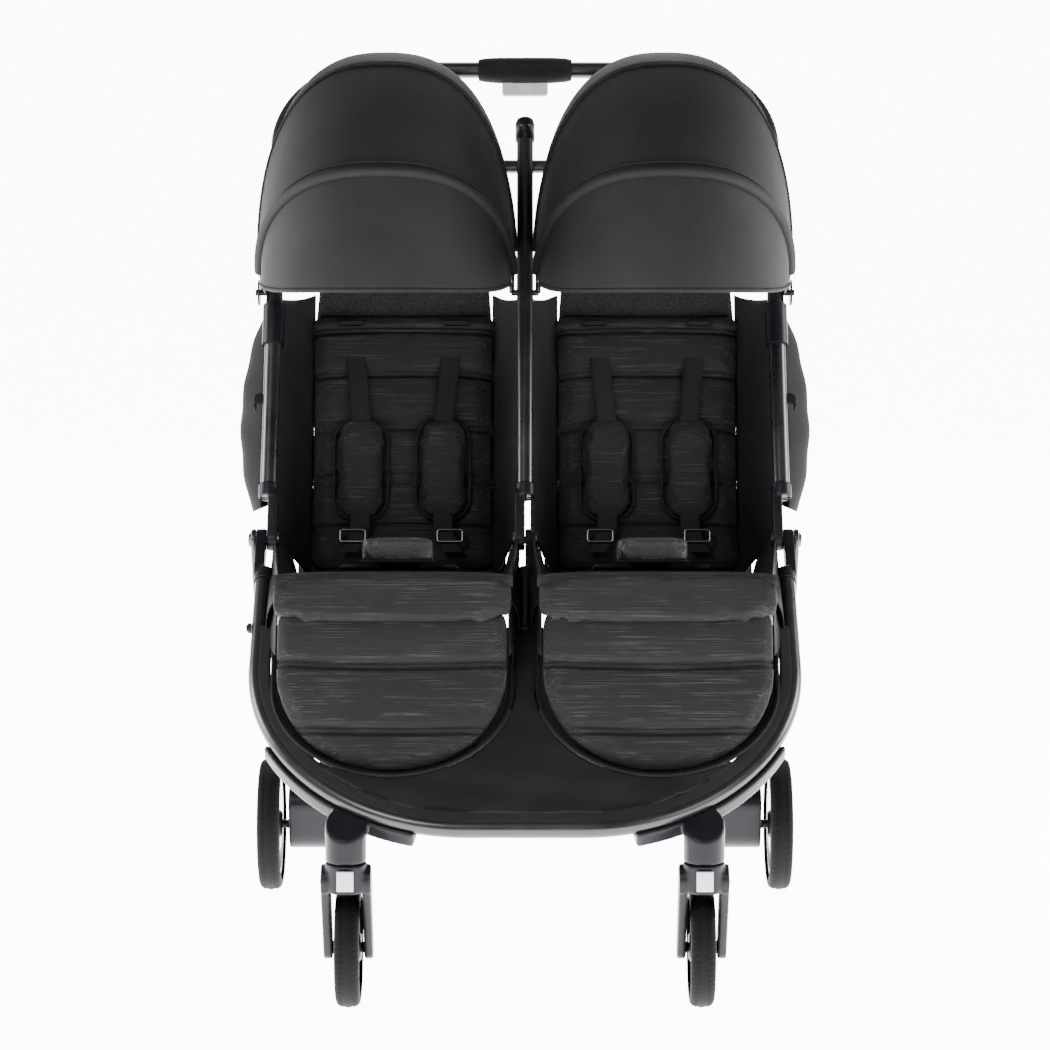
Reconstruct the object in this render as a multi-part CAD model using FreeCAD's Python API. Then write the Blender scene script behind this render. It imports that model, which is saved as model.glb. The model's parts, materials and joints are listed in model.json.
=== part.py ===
import FreeCAD, Part
import math
import os

# Side-by-side double stroller. Millimetres, +Z up, -Y is the front, mirror-symmetric in X.
# The main fold hinge lies at y = 0 while the pieces are drawn; save() then moves every
# piece so that the origin is the bottom centre of the whole stroller.

os.makedirs("parts", exist_ok=True)
Vector = FreeCAD.Vector
ALONG_X = Vector(1, 0, 0)
ALONG_Z = Vector(0, 0, 1)

# ---- frame ----
hinge_height = 511.0
side_tube_x = 330.0
tube_radius = 11.0
tube_wall = 1.8
front_frame_angle = 214.5
front_frame_length = 490.0
front_corner_radius = 260.0
upper_frame_angle = 56.5
upper_frame_length = 696.0
handle_corner_radius = 120.0
upper_centre_length = 605.0
upper_cross_radius = 9.0

# ---- main hinges ----
hinge_plate_length = 60.0
hinge_plate_radius = 14.0
hinge_socket_length = 18.0
hinge_socket_wall = 2.0
pin_end_gap = 0.4
hinge_half_width = 13.0
hinge_gap = 0.5
hinge_pin_radius = 5.0
pin_head_radius = 9.0
pin_head_height = 2.0
running_clearance = 0.05
piece_gap = 0.6

# ---- wheels ----
rear_wheel_radius = 88.5
rear_wheel_y = 196.0
front_wheel_radius = 72.4
wheel_width = 30.0
tyre_depth = 14.0
tread_rounding = 0.6
rear_wheel_outreach = 27.0
caster_x = 212.5
caster_lead = 26.2
caster_trail = 50.0
caster_split_z = 192.0
caster_post_radius = 24.5
saddle_from = 27.0
saddle_to = 77.0
saddle_inner = 17.0
saddle_outer = 17.0
saddle_depth = 24.0
saddle_gap = 1.0
saddle_fillet = 3.5
stem_length = 20.0
caster_head_height = 36.0
lock_tab_width = 20.0
lock_tab_height = 24.0
lock_tab_thickness = 4.0
lock_tab_drop = 6.0
lock_pocket_room = 2.0
lock_tab_gap = 0.5
fork_width = 60.0
fork_arm_thickness = 11.0
fork_arm_top_radius = 19.0
fork_arm_foot_radius = 14.0
fork_bridge_front = 13.0
fork_bridge_rear = 18.0
fork_bridge_height = 24.0
rim_depth = 7.0
web_half_thickness = 4.0
hub_wall = 12.0
axle_radius = 6.0
rear_axle_radius = 8.0
rear_leg_radius = 10.0
rear_leg_start = 95.0
housing_width = 53.0
housing_radius = 32.0
housing_neck_radius = 24.0
housing_wheel_gap = 10.0
leg_foot_short = 34.0
leg_plate_thickness = 6.5
leg_socket_wall = 2.5
leg_socket_length = 22.0
pedal_half_width = 62.0
paddle_reach = 62.0
paddle_rise = 22.0
paddle_root_radius = 9.0
paddle_tip_radius = 5.0

# ---- seats ----
seat_front_y = -190.0
seat_front_z = 497.0
seat_rear_y = 100.0
seat_rear_z = 440.0
seat_thickness = 24.0
seat_side_gap = 11.0
seat_rail_radius = 6.0
backrest_y = 112.0
backrest_z = 440.0
backrest_angle = 65.8
backrest_length = 373.0
backrest_thickness = 24.0
backrest_inset = 19.0
mesh_length = 150.0
strap_offset = 54.0
strap_width = 28.0
shoulder_pad_width = 72.0
shoulder_pad_length = 140.0
calf_angle = 238.4
calf_foot_margin = 260.0
calf_thickness = 18.0
calf_bar_gap = 5.0
calf_pad_from = 14.0
calf_knuckle_offset = 90.0
calf_knuckle_half_width = 9.0
calf_knuckle_wall = 3.5
calf_knuckle_reach = 30.0
seat_corner_radius = 20.0
seat_rail_inset = 12.0
seat_rail_from = 30.0
waist_strap_half = 112.0
waist_strap_from = 62.0
buckle_half = 24.0
buckle_from = 56.0
buckle_to = 96.0
buckle_lift = 15.0
crotch_half = 46.0
crotch_from = 104.0
crotch_to = 138.0
crotch_lift = 27.0
backrest_from = 5.0
mesh_inset = 14.0
mesh_thickness = 5.0
mesh_corner_radius = 40.0
strap_thickness = 3.0
strap_from = 40.0
strap_to = 330.0
shoulder_pad_from = 75.0
shoulder_pad_lift = 16.0
shoulder_pad_corner = 28.0
centre_margin = 5.0

# ---- hoods ----
hood_pivot_at = 356.0
hood_height = 323.0
hood_thickness = 2.0
hood_nest = 3.5
hood_power = 2.5
hood_start_radius = 60.0
hood_tube_gap = 11.0
hood_rear_angle = 70.0
hood_seam_angle = 109.0
hood_band_angle = 146.0
hood_visor_angle = 173.5
hood_rear_height = 255.0
hood_pin_radius = 4.0
hood_pin_end = 3.0
hood_inner_pin = 7.0
hood_hub_radius = 17.0
hood_hub_thickness = 2.5
hood_hub_gap = 0.5
hood_arm_radius = 9.0
hood_arm_tip_radius = 4.0
hood_points = 24

# ---- handle, sleeves, soft parts ----
grip_half_length = 63.0
grip_radius = 17.0
trigger_half_length = 31.0
trigger_half_width = 7.0
trigger_height = 20.0
trigger_gap = 4.5
trigger_fillet = 5.0
sleeve_radius = 14.5
sleeve_from = 278.0
sleeve_to = 336.0
bulge_reach = 47.0
wall_from = 110.0
wall_length = 225.0
wall_thickness = 3.0
wall_inner_inset = 34.0
wall_inner_drop = 100.0
wall_middle_drop = 62.0
wall_outer_reach = 14.0
wall_outer_drop = 22.0
basket_inset = 55.0
basket_corner_radius = 40.0
basket_bottom = 190.0
basket_top = 335.0
basket_front_y = -200.0
basket_rear_y = 150.0
basket_wall = 3.0
latch_share = 0.5263
latch_gap = 0.2
latch_base_radius = 6.5
latch_base_height = 4.5
latch_button_radius = 4.5
latch_button_height = 2.0
apron_thickness = 3.0
apron_from = 165.0
apron_cut_end = 72.0
apron_cut_margin = 1.0

# ---- sizes that follow ----
rear_wheel_outer_x = side_tube_x + rear_wheel_outreach
bow_turn = math.acos((caster_x - side_tube_x + front_corner_radius) / front_corner_radius)
bow_at_caster = front_frame_length - front_corner_radius * (1 - math.sin(bow_turn))
caster_y = bow_at_caster * math.cos(math.radians(front_frame_angle)) - caster_lead
calf_length = front_frame_length - calf_foot_margin
straight_from = hinge_plate_length + hinge_socket_length
straight_to = front_frame_length - front_corner_radius
latch_at = straight_from + latch_share * (straight_to - straight_from)
apron_cut_to = front_frame_length - apron_cut_end
hood_outer_reach = tube_radius + hood_tube_gap
front_reach = -caster_y + caster_post_radius
rear_reach = upper_frame_length * math.cos(math.radians(upper_frame_angle)) + grip_radius
centre_shift = (front_reach - rear_reach) / 2
seat_centre_x = (side_tube_x - tube_radius + centre_margin) / 2
calf_half_width = seat_centre_x - tube_radius - 3
seat_half_width = seat_centre_x - hinge_half_width - seat_side_gap + 2
backrest_half_width = calf_half_width - backrest_inset
SIDES = {"left": -1, "right": 1}


class Plane:
    """A sloping line in the Y-Z plane; places are given by distance along it and lift off it."""

    def __init__(self, y, z, angle, side):
        turn = math.radians(angle)
        self.origin = Vector(0, y, z)
        self.along = Vector(0, math.cos(turn), math.sin(turn))
        self.normal = Vector(0, -math.sin(turn) * side, math.cos(turn) * side)

    def at(self, x, distance, lift=0.0):
        return self.origin + self.along * distance + self.normal * lift + Vector(x, 0, 0)


seat_slope = math.degrees(math.atan2(seat_front_z - seat_rear_z, seat_front_y - seat_rear_y))
seat_length = math.hypot(seat_front_z - seat_rear_z, seat_front_y - seat_rear_y)
rear_leg_slope = math.degrees(math.atan2(rear_wheel_radius - hinge_height, rear_wheel_y))
rear_leg_length = math.hypot(rear_wheel_radius - hinge_height, rear_wheel_y)
front_plane = Plane(0, hinge_height, front_frame_angle, -1)
upper_plane = Plane(0, hinge_height, upper_frame_angle, 1)
rear_plane = Plane(0, hinge_height, rear_leg_slope, 1)
seat_plane = Plane(seat_rear_y, seat_rear_z, seat_slope, -1)
back_plane = Plane(backrest_y, backrest_z, backrest_angle, 1)
calf_plane = Plane(seat_front_y - 18, seat_front_z - 24, calf_angle, -1)
hood_pivot = upper_plane.at(0, hood_pivot_at)


# ---- helpers ----

def save(name, pieces):
    """Write one node: a solid, or several solids as one compound."""
    shape = pieces if isinstance(pieces, Part.Shape) else Part.makeCompound(pieces)
    shape = shape.copy()
    shape.translate(Vector(0, centre_shift, 0))
    shape.exportStep("parts/" + name + ".step")


def rod(start, end, radius):
    return Part.makeCylinder(radius, (end - start).Length, start, end - start)


def tube(start, end, radius, wall=tube_wall):
    return rod(start, end, radius).cut(rod(start, end, radius - wall))


def swept_tube(path, start, direction, radius, wall=tube_wall):
    """A round tube along a wire."""
    solids = []
    for reach in (radius, radius - wall):
        circle = Part.Wire(Part.makeCircle(reach, start, direction))
        solids.append(path.makePipeShell([circle], True, False))
    return solids[0].cut(solids[1])


def disc(x_from, x_to, centre, radius):
    """A round piece with its axis along X."""
    low = min(x_from, x_to)
    start = Vector(low, centre.y, centre.z)
    return Part.makeCylinder(radius, abs(x_to - x_from), start, ALONG_X)


def link(x_from, x_to, first, second, first_radius, second_radius):
    """A flat bar with two round ends, between two centres in the Y-Z plane."""
    low = min(x_from, x_to)
    width = abs(x_to - x_from)
    span = Vector(0, second.y - first.y, second.z - first.z)
    length = span.Length
    lean = math.asin((first_radius - second_radius) / length)
    along = span.normalize()
    across = Vector(0, -along.z, along.y)
    near = Vector(low, first.y, first.z)
    far = Vector(low, second.y, second.z)
    corners = []
    for side in (1, -1):
        outward = across * (side * math.cos(lean)) + along * math.sin(lean)
        corners.append((near + outward * first_radius, far + outward * second_radius))
    edges = [
        Part.makeLine(corners[0][0], corners[0][1]),
        Part.Arc(corners[0][1], far + along * second_radius, corners[1][1]).toShape(),
        Part.makeLine(corners[1][1], corners[1][0]),
        Part.Arc(corners[1][0], near - along * first_radius, corners[0][0]).toShape(),
    ]
    return Part.Face(Part.Wire(edges)).extrude(ALONG_X * width)


def rounded_face(plane, x_from, x_to, start, end, lift, start_radius, end_radius):
    """A rectangle on a plane, with one radius at its start corners and one at its end corners."""
    low = min(x_from, x_to)
    high = max(x_from, x_to)
    diagonal = 1 - math.sqrt(0.5)
    edges = []

    def corner(x, distance, radius, x_turn, d_turn, flipped):
        first = plane.at(x + x_turn * radius, distance, lift)
        middle = plane.at(x + x_turn * radius * diagonal, distance + d_turn * radius * diagonal, lift)
        last = plane.at(x, distance + d_turn * radius, lift)
        return (last, middle, first) if flipped else (first, middle, last)

    corners = [
        corner(low, start, start_radius, 1, 1, False),
        corner(low, end, end_radius, 1, -1, True),
        corner(high, end, end_radius, -1, -1, False),
        corner(high, start, start_radius, -1, 1, True),
    ]
    for index, points in enumerate(corners):
        following = corners[(index + 1) % 4]
        edges.append(Part.Arc(*points).toShape())
        if (following[0] - points[2]).Length > 0.01:
            edges.append(Part.makeLine(points[2], following[0]))
    return Part.Face(Part.Wire(edges))


def panel(plane, x_from, x_to, start, end, low, high, start_radius, end_radius):
    """A flat pad lying between two lifts off a plane."""
    face = rounded_face(plane, x_from, x_to, start, end, low, start_radius, end_radius)
    return face.extrude(plane.normal * (high - low))


def box(x_from, x_to, y_from, y_to, z_from, z_to):
    size = Vector(abs(x_to - x_from), y_to - y_from, z_to - z_from)
    return Part.makeBox(size.x, size.y, size.z, Vector(min(x_from, x_to), y_from, z_from))


# ---- front frame: the root body ----

def front_frame():
    for side, sign in SIDES.items():
        x = sign * side_tube_x
        top = front_plane.at(x, hinge_plate_length)
        bend = front_plane.at(x, front_frame_length - front_corner_radius)
        save("front_side_tube_" + side, tube(top, bend, tube_radius))
    save("front_bow_tube", front_bow())
    centre_end = front_plane.at(0, front_frame_length - tube_radius - piece_gap)
    save("front_centre_tube", tube(front_plane.at(0, hinge_plate_length), centre_end, tube_radius))


def bow_arc(sign, first):
    """The centre line of one bend of the front bow, from its side tube inwards or the other way."""
    radius = front_corner_radius
    start = front_frame_length - radius
    straight = side_tube_x - radius
    mid_x = straight + radius * math.cos(math.pi / 4)
    mid_s = start + radius * math.sin(math.pi / 4)
    ends = [front_plane.at(sign * side_tube_x, start), front_plane.at(sign * straight, front_frame_length)]
    if first == "middle":
        ends.reverse()
    return Part.Arc(ends[0], front_plane.at(sign * mid_x, mid_s), ends[1]).toShape()


def front_bow():
    """The tube that bends round both front corners and crosses the front."""
    straight = side_tube_x - front_corner_radius
    across = Part.makeLine(front_plane.at(-straight, front_frame_length),
                           front_plane.at(straight, front_frame_length))
    path = Part.Wire([bow_arc(-1, "side"), across, bow_arc(1, "middle")])
    first = front_plane.at(-side_tube_x, front_frame_length - front_corner_radius)
    return swept_tube(path, first, front_plane.along, tube_radius)


def saddle_plate(sign):
    """A curved plate under one bend of the bow, with rounded edges."""
    def spot(radius, angle):
        turn = math.radians(angle)
        x = side_tube_x - front_corner_radius + radius * math.cos(turn)
        return front_plane.at(sign * x, front_frame_length - front_corner_radius + radius * math.sin(turn),
                              -saddle_depth)

    inner = front_corner_radius - saddle_inner
    outer = front_corner_radius + saddle_outer
    halfway = (saddle_from + saddle_to) / 2
    edge = Part.Wire([
        Part.Arc(spot(outer, saddle_from), spot(outer, halfway), spot(outer, saddle_to)).toShape(),
        Part.makeLine(spot(outer, saddle_to), spot(inner, saddle_to)),
        Part.Arc(spot(inner, saddle_to), spot(inner, halfway), spot(inner, saddle_from)).toShape(),
        Part.makeLine(spot(inner, saddle_from), spot(outer, saddle_from)),
    ])
    plate = Part.Face(edge).extrude(front_plane.normal * (saddle_depth - saddle_gap))
    return plate.makeFillet(saddle_fillet, plate.Edges)


def bracket_post(sign):
    """The post from the caster up to the underside of the bow."""
    x = sign * caster_x
    crossing = front_plane.at(x, bow_at_caster)
    post = rod(Vector(x, caster_y, caster_split_z), Vector(x, caster_y, crossing.z + caster_post_radius),
               caster_post_radius)
    room = panel(front_plane, x - 2 * caster_post_radius, x + 2 * caster_post_radius,
                 bow_at_caster - 3 * caster_post_radius, bow_at_caster + 3 * caster_post_radius, -saddle_gap, 4 * caster_post_radius, 4, 4)
    return post.cut(room)


def corner_brackets():
    """A moulded saddle under the front bow above each caster, with the socket for its post."""
    for side, sign in SIDES.items():
        bottom = Vector(sign * caster_x, caster_y, caster_split_z)
        bore = rod(bottom, bottom + ALONG_Z * (stem_length + 2), stem_radius() + running_clearance)
        bracket = saddle_plate(sign).fuse(bracket_post(sign))
        save("corner_bracket_" + side, largest_solid(bracket.cut(bow_core()).cut(bore)))


def stem_radius():
    return caster_post_radius / 3


def bow_core():
    """The room that the front bow takes inside the brackets."""
    cores = []
    for sign in SIDES.values():
        first = front_plane.at(sign * side_tube_x, front_frame_length - front_corner_radius)
        circle = Part.Wire(Part.makeCircle(tube_radius, first, front_plane.along))
        cores.append(Part.Wire([bow_arc(sign, "side")]).makePipeShell([circle], True, False))
    return Part.makeCompound(cores)


def largest_solid(shape):
    return max(shape.Solids, key=lambda solid: solid.Volume)


def main_hinges():
    """Three fold hinges: an upper half on the inner side and a lower half on the outer side."""
    lower = []
    upper = []
    pins = []
    centre = front_plane.at(0, 0)
    for sign, x in ((-1, -side_tube_x), (1, 0.0), (1, side_tube_x)):
        inner = x - sign * hinge_half_width
        outer = x + sign * hinge_half_width
        split = x
        lower_end = front_plane.at(0, hinge_plate_length)
        upper_end = upper_plane.at(0, hinge_plate_length)
        lower_plate = link(split + sign * hinge_gap / 2, outer, centre, lower_end, hinge_plate_radius, tube_radius)
        upper_plate = link(inner, split - sign * hinge_gap / 2, centre, upper_end, hinge_plate_radius, tube_radius)
        lower_socket, lower_core = hinge_socket(front_plane, x)
        upper_socket, upper_core = hinge_socket(upper_plane, x)
        hole = disc(x - hinge_plate_radius, x + hinge_plate_radius, centre, hinge_pin_radius)
        loose_hole = disc(x - hinge_plate_radius, x + hinge_plate_radius, centre,
                          hinge_pin_radius + running_clearance)
        lower.append(lower_plate.fuse(lower_socket).cut(lower_core).cut(hole))
        upper.append(upper_plate.fuse(upper_socket).cut(upper_core).cut(loose_hole))
        reach = leg_plate_outer() if x else hinge_half_width
        inner_face = inner - sign * pin_end_gap
        outer_face = x + sign * (reach + pin_end_gap)
        pin = disc(inner_face, outer_face, centre, hinge_pin_radius)
        inner_head = disc(inner_face, inner_face - sign * pin_head_height, centre, pin_head_radius)
        outer_head = disc(outer_face, outer_face + sign * pin_head_height, centre, pin_head_radius)
        pins.append(pin.fuse(inner_head).fuse(outer_head))
    save("lower_hinges", lower)
    save("upper_hinges", upper)
    save("hinge_pins", pins)


def hinge_socket(plane, x):
    """The sleeve at the end of a hinge plate and the room for the tube inside it."""
    start = plane.at(x, hinge_plate_length)
    sleeve = rod(plane.at(x, hinge_plate_length - 1), plane.at(x, hinge_plate_length + hinge_socket_length),
                 tube_radius + hinge_socket_wall)
    return sleeve, rod(start, plane.at(x, hinge_plate_length + 2 * hinge_socket_length), tube_radius)


def leg_plate_outer():
    """How far the rear leg's plate reaches outboard of a side tube's axis."""
    return hinge_half_width + hinge_gap + leg_plate_thickness


def latch_stud():
    """The button of the fold lock, on the left side tube."""
    x = -side_tube_x - tube_radius - latch_gap
    spot = front_plane.at(0, latch_at)
    button_x = x - latch_base_height
    base = disc(x, button_x, spot, latch_base_radius)
    save("latch_stud", base.fuse(disc(button_x, button_x - latch_button_height, spot, latch_button_radius)))


def apron():
    """Fabric over the front tubes, inside the bow, cut out round both calf pads."""
    inner_x = side_tube_x - tube_radius - 1
    low = tube_radius + piece_gap
    high = low + apron_thickness
    sheet = panel(front_plane, -inner_x, inner_x, apron_from, front_frame_length - tube_radius - 1, low, high, 4,
                  front_corner_radius - tube_radius)
    for sign in SIDES.values():
        x = sign * seat_centre_x
        half = calf_half_width + apron_cut_margin
        sheet = sheet.cut(panel(front_plane, x - half, x + half, 0, apron_cut_to, low - apron_thickness,
                                high + apron_thickness, 4, half - 4))
    save("apron", largest_solid(sheet))


def basket():
    """An open fabric tray under the seats."""
    half = side_tube_x - basket_inset
    outer = box(-half, half, basket_front_y, basket_rear_y, basket_bottom, basket_top)
    outer = outer.makeFillet(basket_corner_radius, upright_edges(outer))
    inner = box(-half + basket_wall, half - basket_wall, basket_front_y + basket_wall, basket_rear_y - basket_wall,
                basket_bottom + basket_wall, basket_top + basket_wall)
    inner = inner.makeFillet(basket_corner_radius - basket_wall, upright_edges(inner))
    save("basket", outer.cut(inner))


def upright_edges(shape):
    return [edge for edge in shape.Edges if edge.BoundBox.ZLength > edge.Length / 2]


# ---- seats, on the root body ----

def calf_bar_centre(x):
    """The bar along a seat's front edge, which carries the calf pad."""
    return seat_plane.at(x, seat_length + seat_rail_radius + calf_bar_gap, -seat_thickness / 2)


def seats():
    rails = []
    pads = []
    for side, sign in SIDES.items():
        x = sign * seat_centre_x
        save("seat_pad_" + side, panel(seat_plane, x - seat_half_width, x + seat_half_width, 0, seat_length,
                                       -seat_thickness, 0, seat_corner_radius, seat_rail_inset))
        rails.extend(seat_rail(x))
        save("waist_strap_" + side, waist_strap(x))
        pads.append(crotch_pad(x))
    save("seat_rails", rails)
    save("crotch_pads", pads)


def seat_rail(x):
    """The bar under a seat: two arms run forward from the hinges to the bar that holds the calf pad."""
    reach = seat_half_width - seat_rail_inset
    pieces = []
    lift = -seat_thickness - seat_rail_radius - piece_gap
    bar = rod(calf_bar_centre(x - seat_half_width), calf_bar_centre(x + seat_half_width), seat_rail_radius)
    pieces.append(bar)
    for offset in (-reach, reach):
        start = seat_plane.at(x + offset, seat_rail_from, lift)
        pieces.append(rod(start, seat_plane.at(x + offset, seat_length - 4, lift), seat_rail_radius))
    return pieces


def waist_strap(x):
    """The waist webbing lying on the seat, with its buckle in the middle."""
    strap = panel(seat_plane, x - waist_strap_half, x + waist_strap_half, waist_strap_from,
                  waist_strap_from + strap_width, piece_gap, strap_thickness, 8, 8)
    buckle = panel(seat_plane, x - buckle_half, x + buckle_half, buckle_from, buckle_to, strap_thickness,
                   buckle_lift, 9, 9)
    return [strap, buckle]


def crotch_pad(x):
    """The soft roll in front of the buckle."""
    return panel(seat_plane, x - crotch_half, x + crotch_half, crotch_from, crotch_to, piece_gap, crotch_lift,
                 12, 12)


def calf_pads():
    for side, sign in SIDES.items():
        x = sign * seat_centre_x
        pad = panel(calf_plane, x - calf_half_width, x + calf_half_width, calf_pad_from, calf_length,
                    -calf_thickness / 2, calf_thickness / 2, seat_corner_radius, calf_half_width - 8)
        knuckles = []
        for offset in (-calf_knuckle_offset, calf_knuckle_offset):
            centre = calf_bar_centre(x + offset)
            start = x + offset - calf_knuckle_half_width
            knuckles.append(link(start, start + 2 * calf_knuckle_half_width, centre,
                                 calf_plane.at(0, calf_knuckle_reach), seat_rail_radius + calf_knuckle_wall, 5))
        shape = pad
        for knuckle in knuckles:
            shape = shape.fuse(knuckle)
        shape = shape.cut(disc(x - calf_half_width, x + calf_half_width, calf_bar_centre(x),
                               seat_rail_radius + running_clearance))
        save("calf_pad_" + side, shape)


# ---- front casters ----

def casters():
    for side, sign in SIDES.items():
        x = sign * caster_x
        wheel_centre = Vector(x, caster_y + caster_trail, front_wheel_radius)
        save("caster_fork_" + side, caster_fork(x, wheel_centre))
        tab_y = caster_y - caster_post_radius - lock_tab_gap
        tab = box(x - lock_tab_width / 2, x + lock_tab_width / 2, tab_y - lock_tab_thickness, tab_y,
                  caster_split_z - lock_tab_drop - lock_tab_height, caster_split_z - lock_tab_drop)
        save("caster_lock_" + side, tab)
        tyre, rim = wheel(x, wheel_centre, front_wheel_radius, axle_radius)
        save("front_tyre_" + side, tyre)
        save("front_rim_" + side, rim)


def caster_fork(x, wheel_centre):
    """The swivelling head with its stem, two arms and the wheel's axle."""
    head_bottom = caster_split_z - caster_head_height
    bridge_top = head_bottom + fork_bridge_height
    head = rod(Vector(x, caster_y, head_bottom), Vector(x, caster_y, caster_split_z - piece_gap),
               caster_post_radius)
    stem = rod(Vector(x, caster_y, bridge_top), Vector(x, caster_y, caster_split_z + stem_length), stem_radius())
    fork = head.fuse(stem)
    top = Vector(0, caster_y + 4, head_bottom + fork_bridge_height / 2)
    for sign in (-1, 1):
        outer = x + sign * fork_width / 2
        fork = fork.fuse(link(outer, outer - sign * fork_arm_thickness, top, wheel_centre, fork_arm_top_radius,
                              fork_arm_foot_radius))
    bridge = box(x - fork_width / 2, x + fork_width / 2, caster_y - fork_bridge_front, caster_y + fork_bridge_rear,
                 head_bottom, bridge_top)
    fork = fork.fuse(bridge)
    clearance_disc = disc(x - wheel_width / 2 - 3, x + wheel_width / 2 + 3, wheel_centre, front_wheel_radius + 4)
    fork = fork.cut(clearance_disc)
    pocket_half = lock_tab_width / 2 + lock_pocket_room
    pocket = box(x - pocket_half, x + pocket_half, caster_y - caster_post_radius - 3 * lock_pocket_room,
                 caster_y - caster_post_radius + lock_pocket_room - lock_tab_gap, head_bottom - lock_pocket_room,
                 caster_split_z - lock_tab_drop + lock_pocket_room)
    fork = fork.cut(pocket)
    axle = disc(x - fork_width / 2 + 2, x + fork_width / 2 - 2, wheel_centre, axle_radius)
    return largest_solid(fork.fuse(axle))


def wheel(x, centre, radius, bore_radius):
    """A tyre and the rim it sits on, with a running bore for the axle."""
    half = wheel_width / 2
    seat = radius - tyre_depth
    tyre = disc(x - half, x + half, centre, radius).cut(disc(x - half, x + half, centre, seat))
    tread = [edge for edge in tyre.Edges if edge.Length > 2 * math.pi * radius - 1]
    rounded = [edge for edge in tread if edge.Closed and len(edge.Vertexes) == 1]
    tyre = tyre.makeFillet(tread_rounding * tyre_depth, rounded)
    rim = disc(x - half + 3, x + half - 3, centre, seat).cut(disc(x - half, x + half, centre, seat - rim_depth))
    web = disc(x - web_half_thickness, x + web_half_thickness, centre, seat - rim_depth / 2)
    hub = disc(x - half, x + half, centre, bore_radius + hub_wall)
    bore = disc(x - wheel_width, x + wheel_width, centre, bore_radius + running_clearance)
    rim = rim.fuse(web).fuse(hub).cut(bore)
    return tyre, rim


# ---- rear legs and wheels ----

def rear_legs():
    axle_centre = rear_plane.at(0, rear_leg_length)
    foot_x = rear_wheel_outer_x - wheel_width - housing_wheel_gap - housing_width / 2
    for side, sign in SIDES.items():
        top = rear_plane.at(sign * (side_tube_x - tube_radius - 3), rear_leg_start)
        foot = rear_plane.at(sign * foot_x, rear_leg_length - leg_foot_short)
        plate_inner = sign * (side_tube_x + hinge_half_width + hinge_gap)
        plate_outer = sign * (side_tube_x + leg_plate_outer())
        hinge_centre = rear_plane.at(0, 0)
        plate_end = rear_plane.at(0, rear_leg_start)
        plate = link(plate_inner, plate_outer, hinge_centre, plate_end, hinge_plate_radius, hinge_plate_radius - 2)
        socket = rod(top - rear_plane.along * leg_plate_thickness, top + rear_plane.along * leg_socket_length,
                     rear_leg_radius + leg_socket_wall)
        bridge = disc(top.x, plate_outer, plate_end, rear_leg_radius + 1)
        bore = disc(0, 2 * plate_outer, hinge_centre, hinge_pin_radius + running_clearance)
        plate = plate.fuse(socket).fuse(bridge).cut(bore)
        leg = rod(top, foot, rear_leg_radius)
        save("rear_leg_" + side, largest_solid(plate.fuse(leg)))
        housing = axle_housing(sign, foot_x, foot, axle_centre)
        save("axle_housing_" + side, largest_solid(housing.cut(leg)))
        wheel_x = sign * (rear_wheel_outer_x - wheel_width / 2)
        tyre, rim = wheel(wheel_x, axle_centre, rear_wheel_radius, axle_radius)
        save("rear_tyre_" + side, tyre)
        save("rear_rim_" + side, rim)
    inner_x = foot_x - housing_width / 2
    save("rear_axle", disc(-inner_x, inner_x, axle_centre, rear_axle_radius))
    save("brake_pedal", brake_pedal(axle_centre))


def axle_housing(sign, foot_x, foot, axle_centre):
    """The block at the foot of a rear leg, with the stub axle that the wheel turns on."""
    half = housing_width / 2
    inner = sign * (foot_x - half)
    outer = sign * (foot_x + half)
    block = link(inner, outer, axle_centre, Vector(0, foot.y, foot.z), housing_radius,
                 housing_neck_radius)
    stub_end = sign * (rear_wheel_outer_x - axle_radius)
    stub = disc(outer, stub_end, axle_centre, axle_radius)
    return block.fuse(stub)


def brake_pedal(axle_centre):
    """A foot pedal that turns on the rear axle."""
    ring = disc(-pedal_half_width, pedal_half_width, axle_centre, rear_axle_radius + paddle_tip_radius)
    tip = axle_centre + Vector(0, paddle_reach, paddle_rise)
    paddle_half = pedal_half_width - 4
    paddle = link(-paddle_half, paddle_half, axle_centre, tip, paddle_root_radius, paddle_tip_radius)
    bore = disc(-2 * pedal_half_width, 2 * pedal_half_width, axle_centre, rear_axle_radius + running_clearance)
    return ring.fuse(paddle).cut(bore)


# ---- upper frame ----

def upper_frame():
    bend_at = upper_frame_length - handle_corner_radius
    for side, sign in SIDES.items():
        x = sign * side_tube_x
        side_tube = tube(upper_plane.at(x, hinge_plate_length), upper_plane.at(x, bend_at), tube_radius)
        save("upper_side_tube_" + side, side_tube.cut(hood_pin_hole()))
    centre_tube = tube(upper_plane.at(0, hinge_plate_length), upper_plane.at(0, upper_centre_length), tube_radius)
    save("upper_centre_tube", centre_tube.cut(hood_pin_hole()))
    bar_lift = upper_cross_radius + tube_radius + piece_gap
    cross_at = bend_at - 2 * upper_cross_radius
    cross = rod(upper_plane.at(-side_tube_x, cross_at, -bar_lift), upper_plane.at(side_tube_x, cross_at, -bar_lift),
                upper_cross_radius)
    save("upper_cross_tube", cross)
    save("handlebar", handlebar(bend_at))
    save("handle_grip", handle_grip())
    save("fold_trigger", fold_trigger())
    save("hood_brackets", hood_brackets())


def hood_pin_hole():
    """The line of the hood pins through all three posts."""
    return disc(-2 * side_tube_x, 2 * side_tube_x, hood_pivot, hood_pin_radius)


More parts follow.
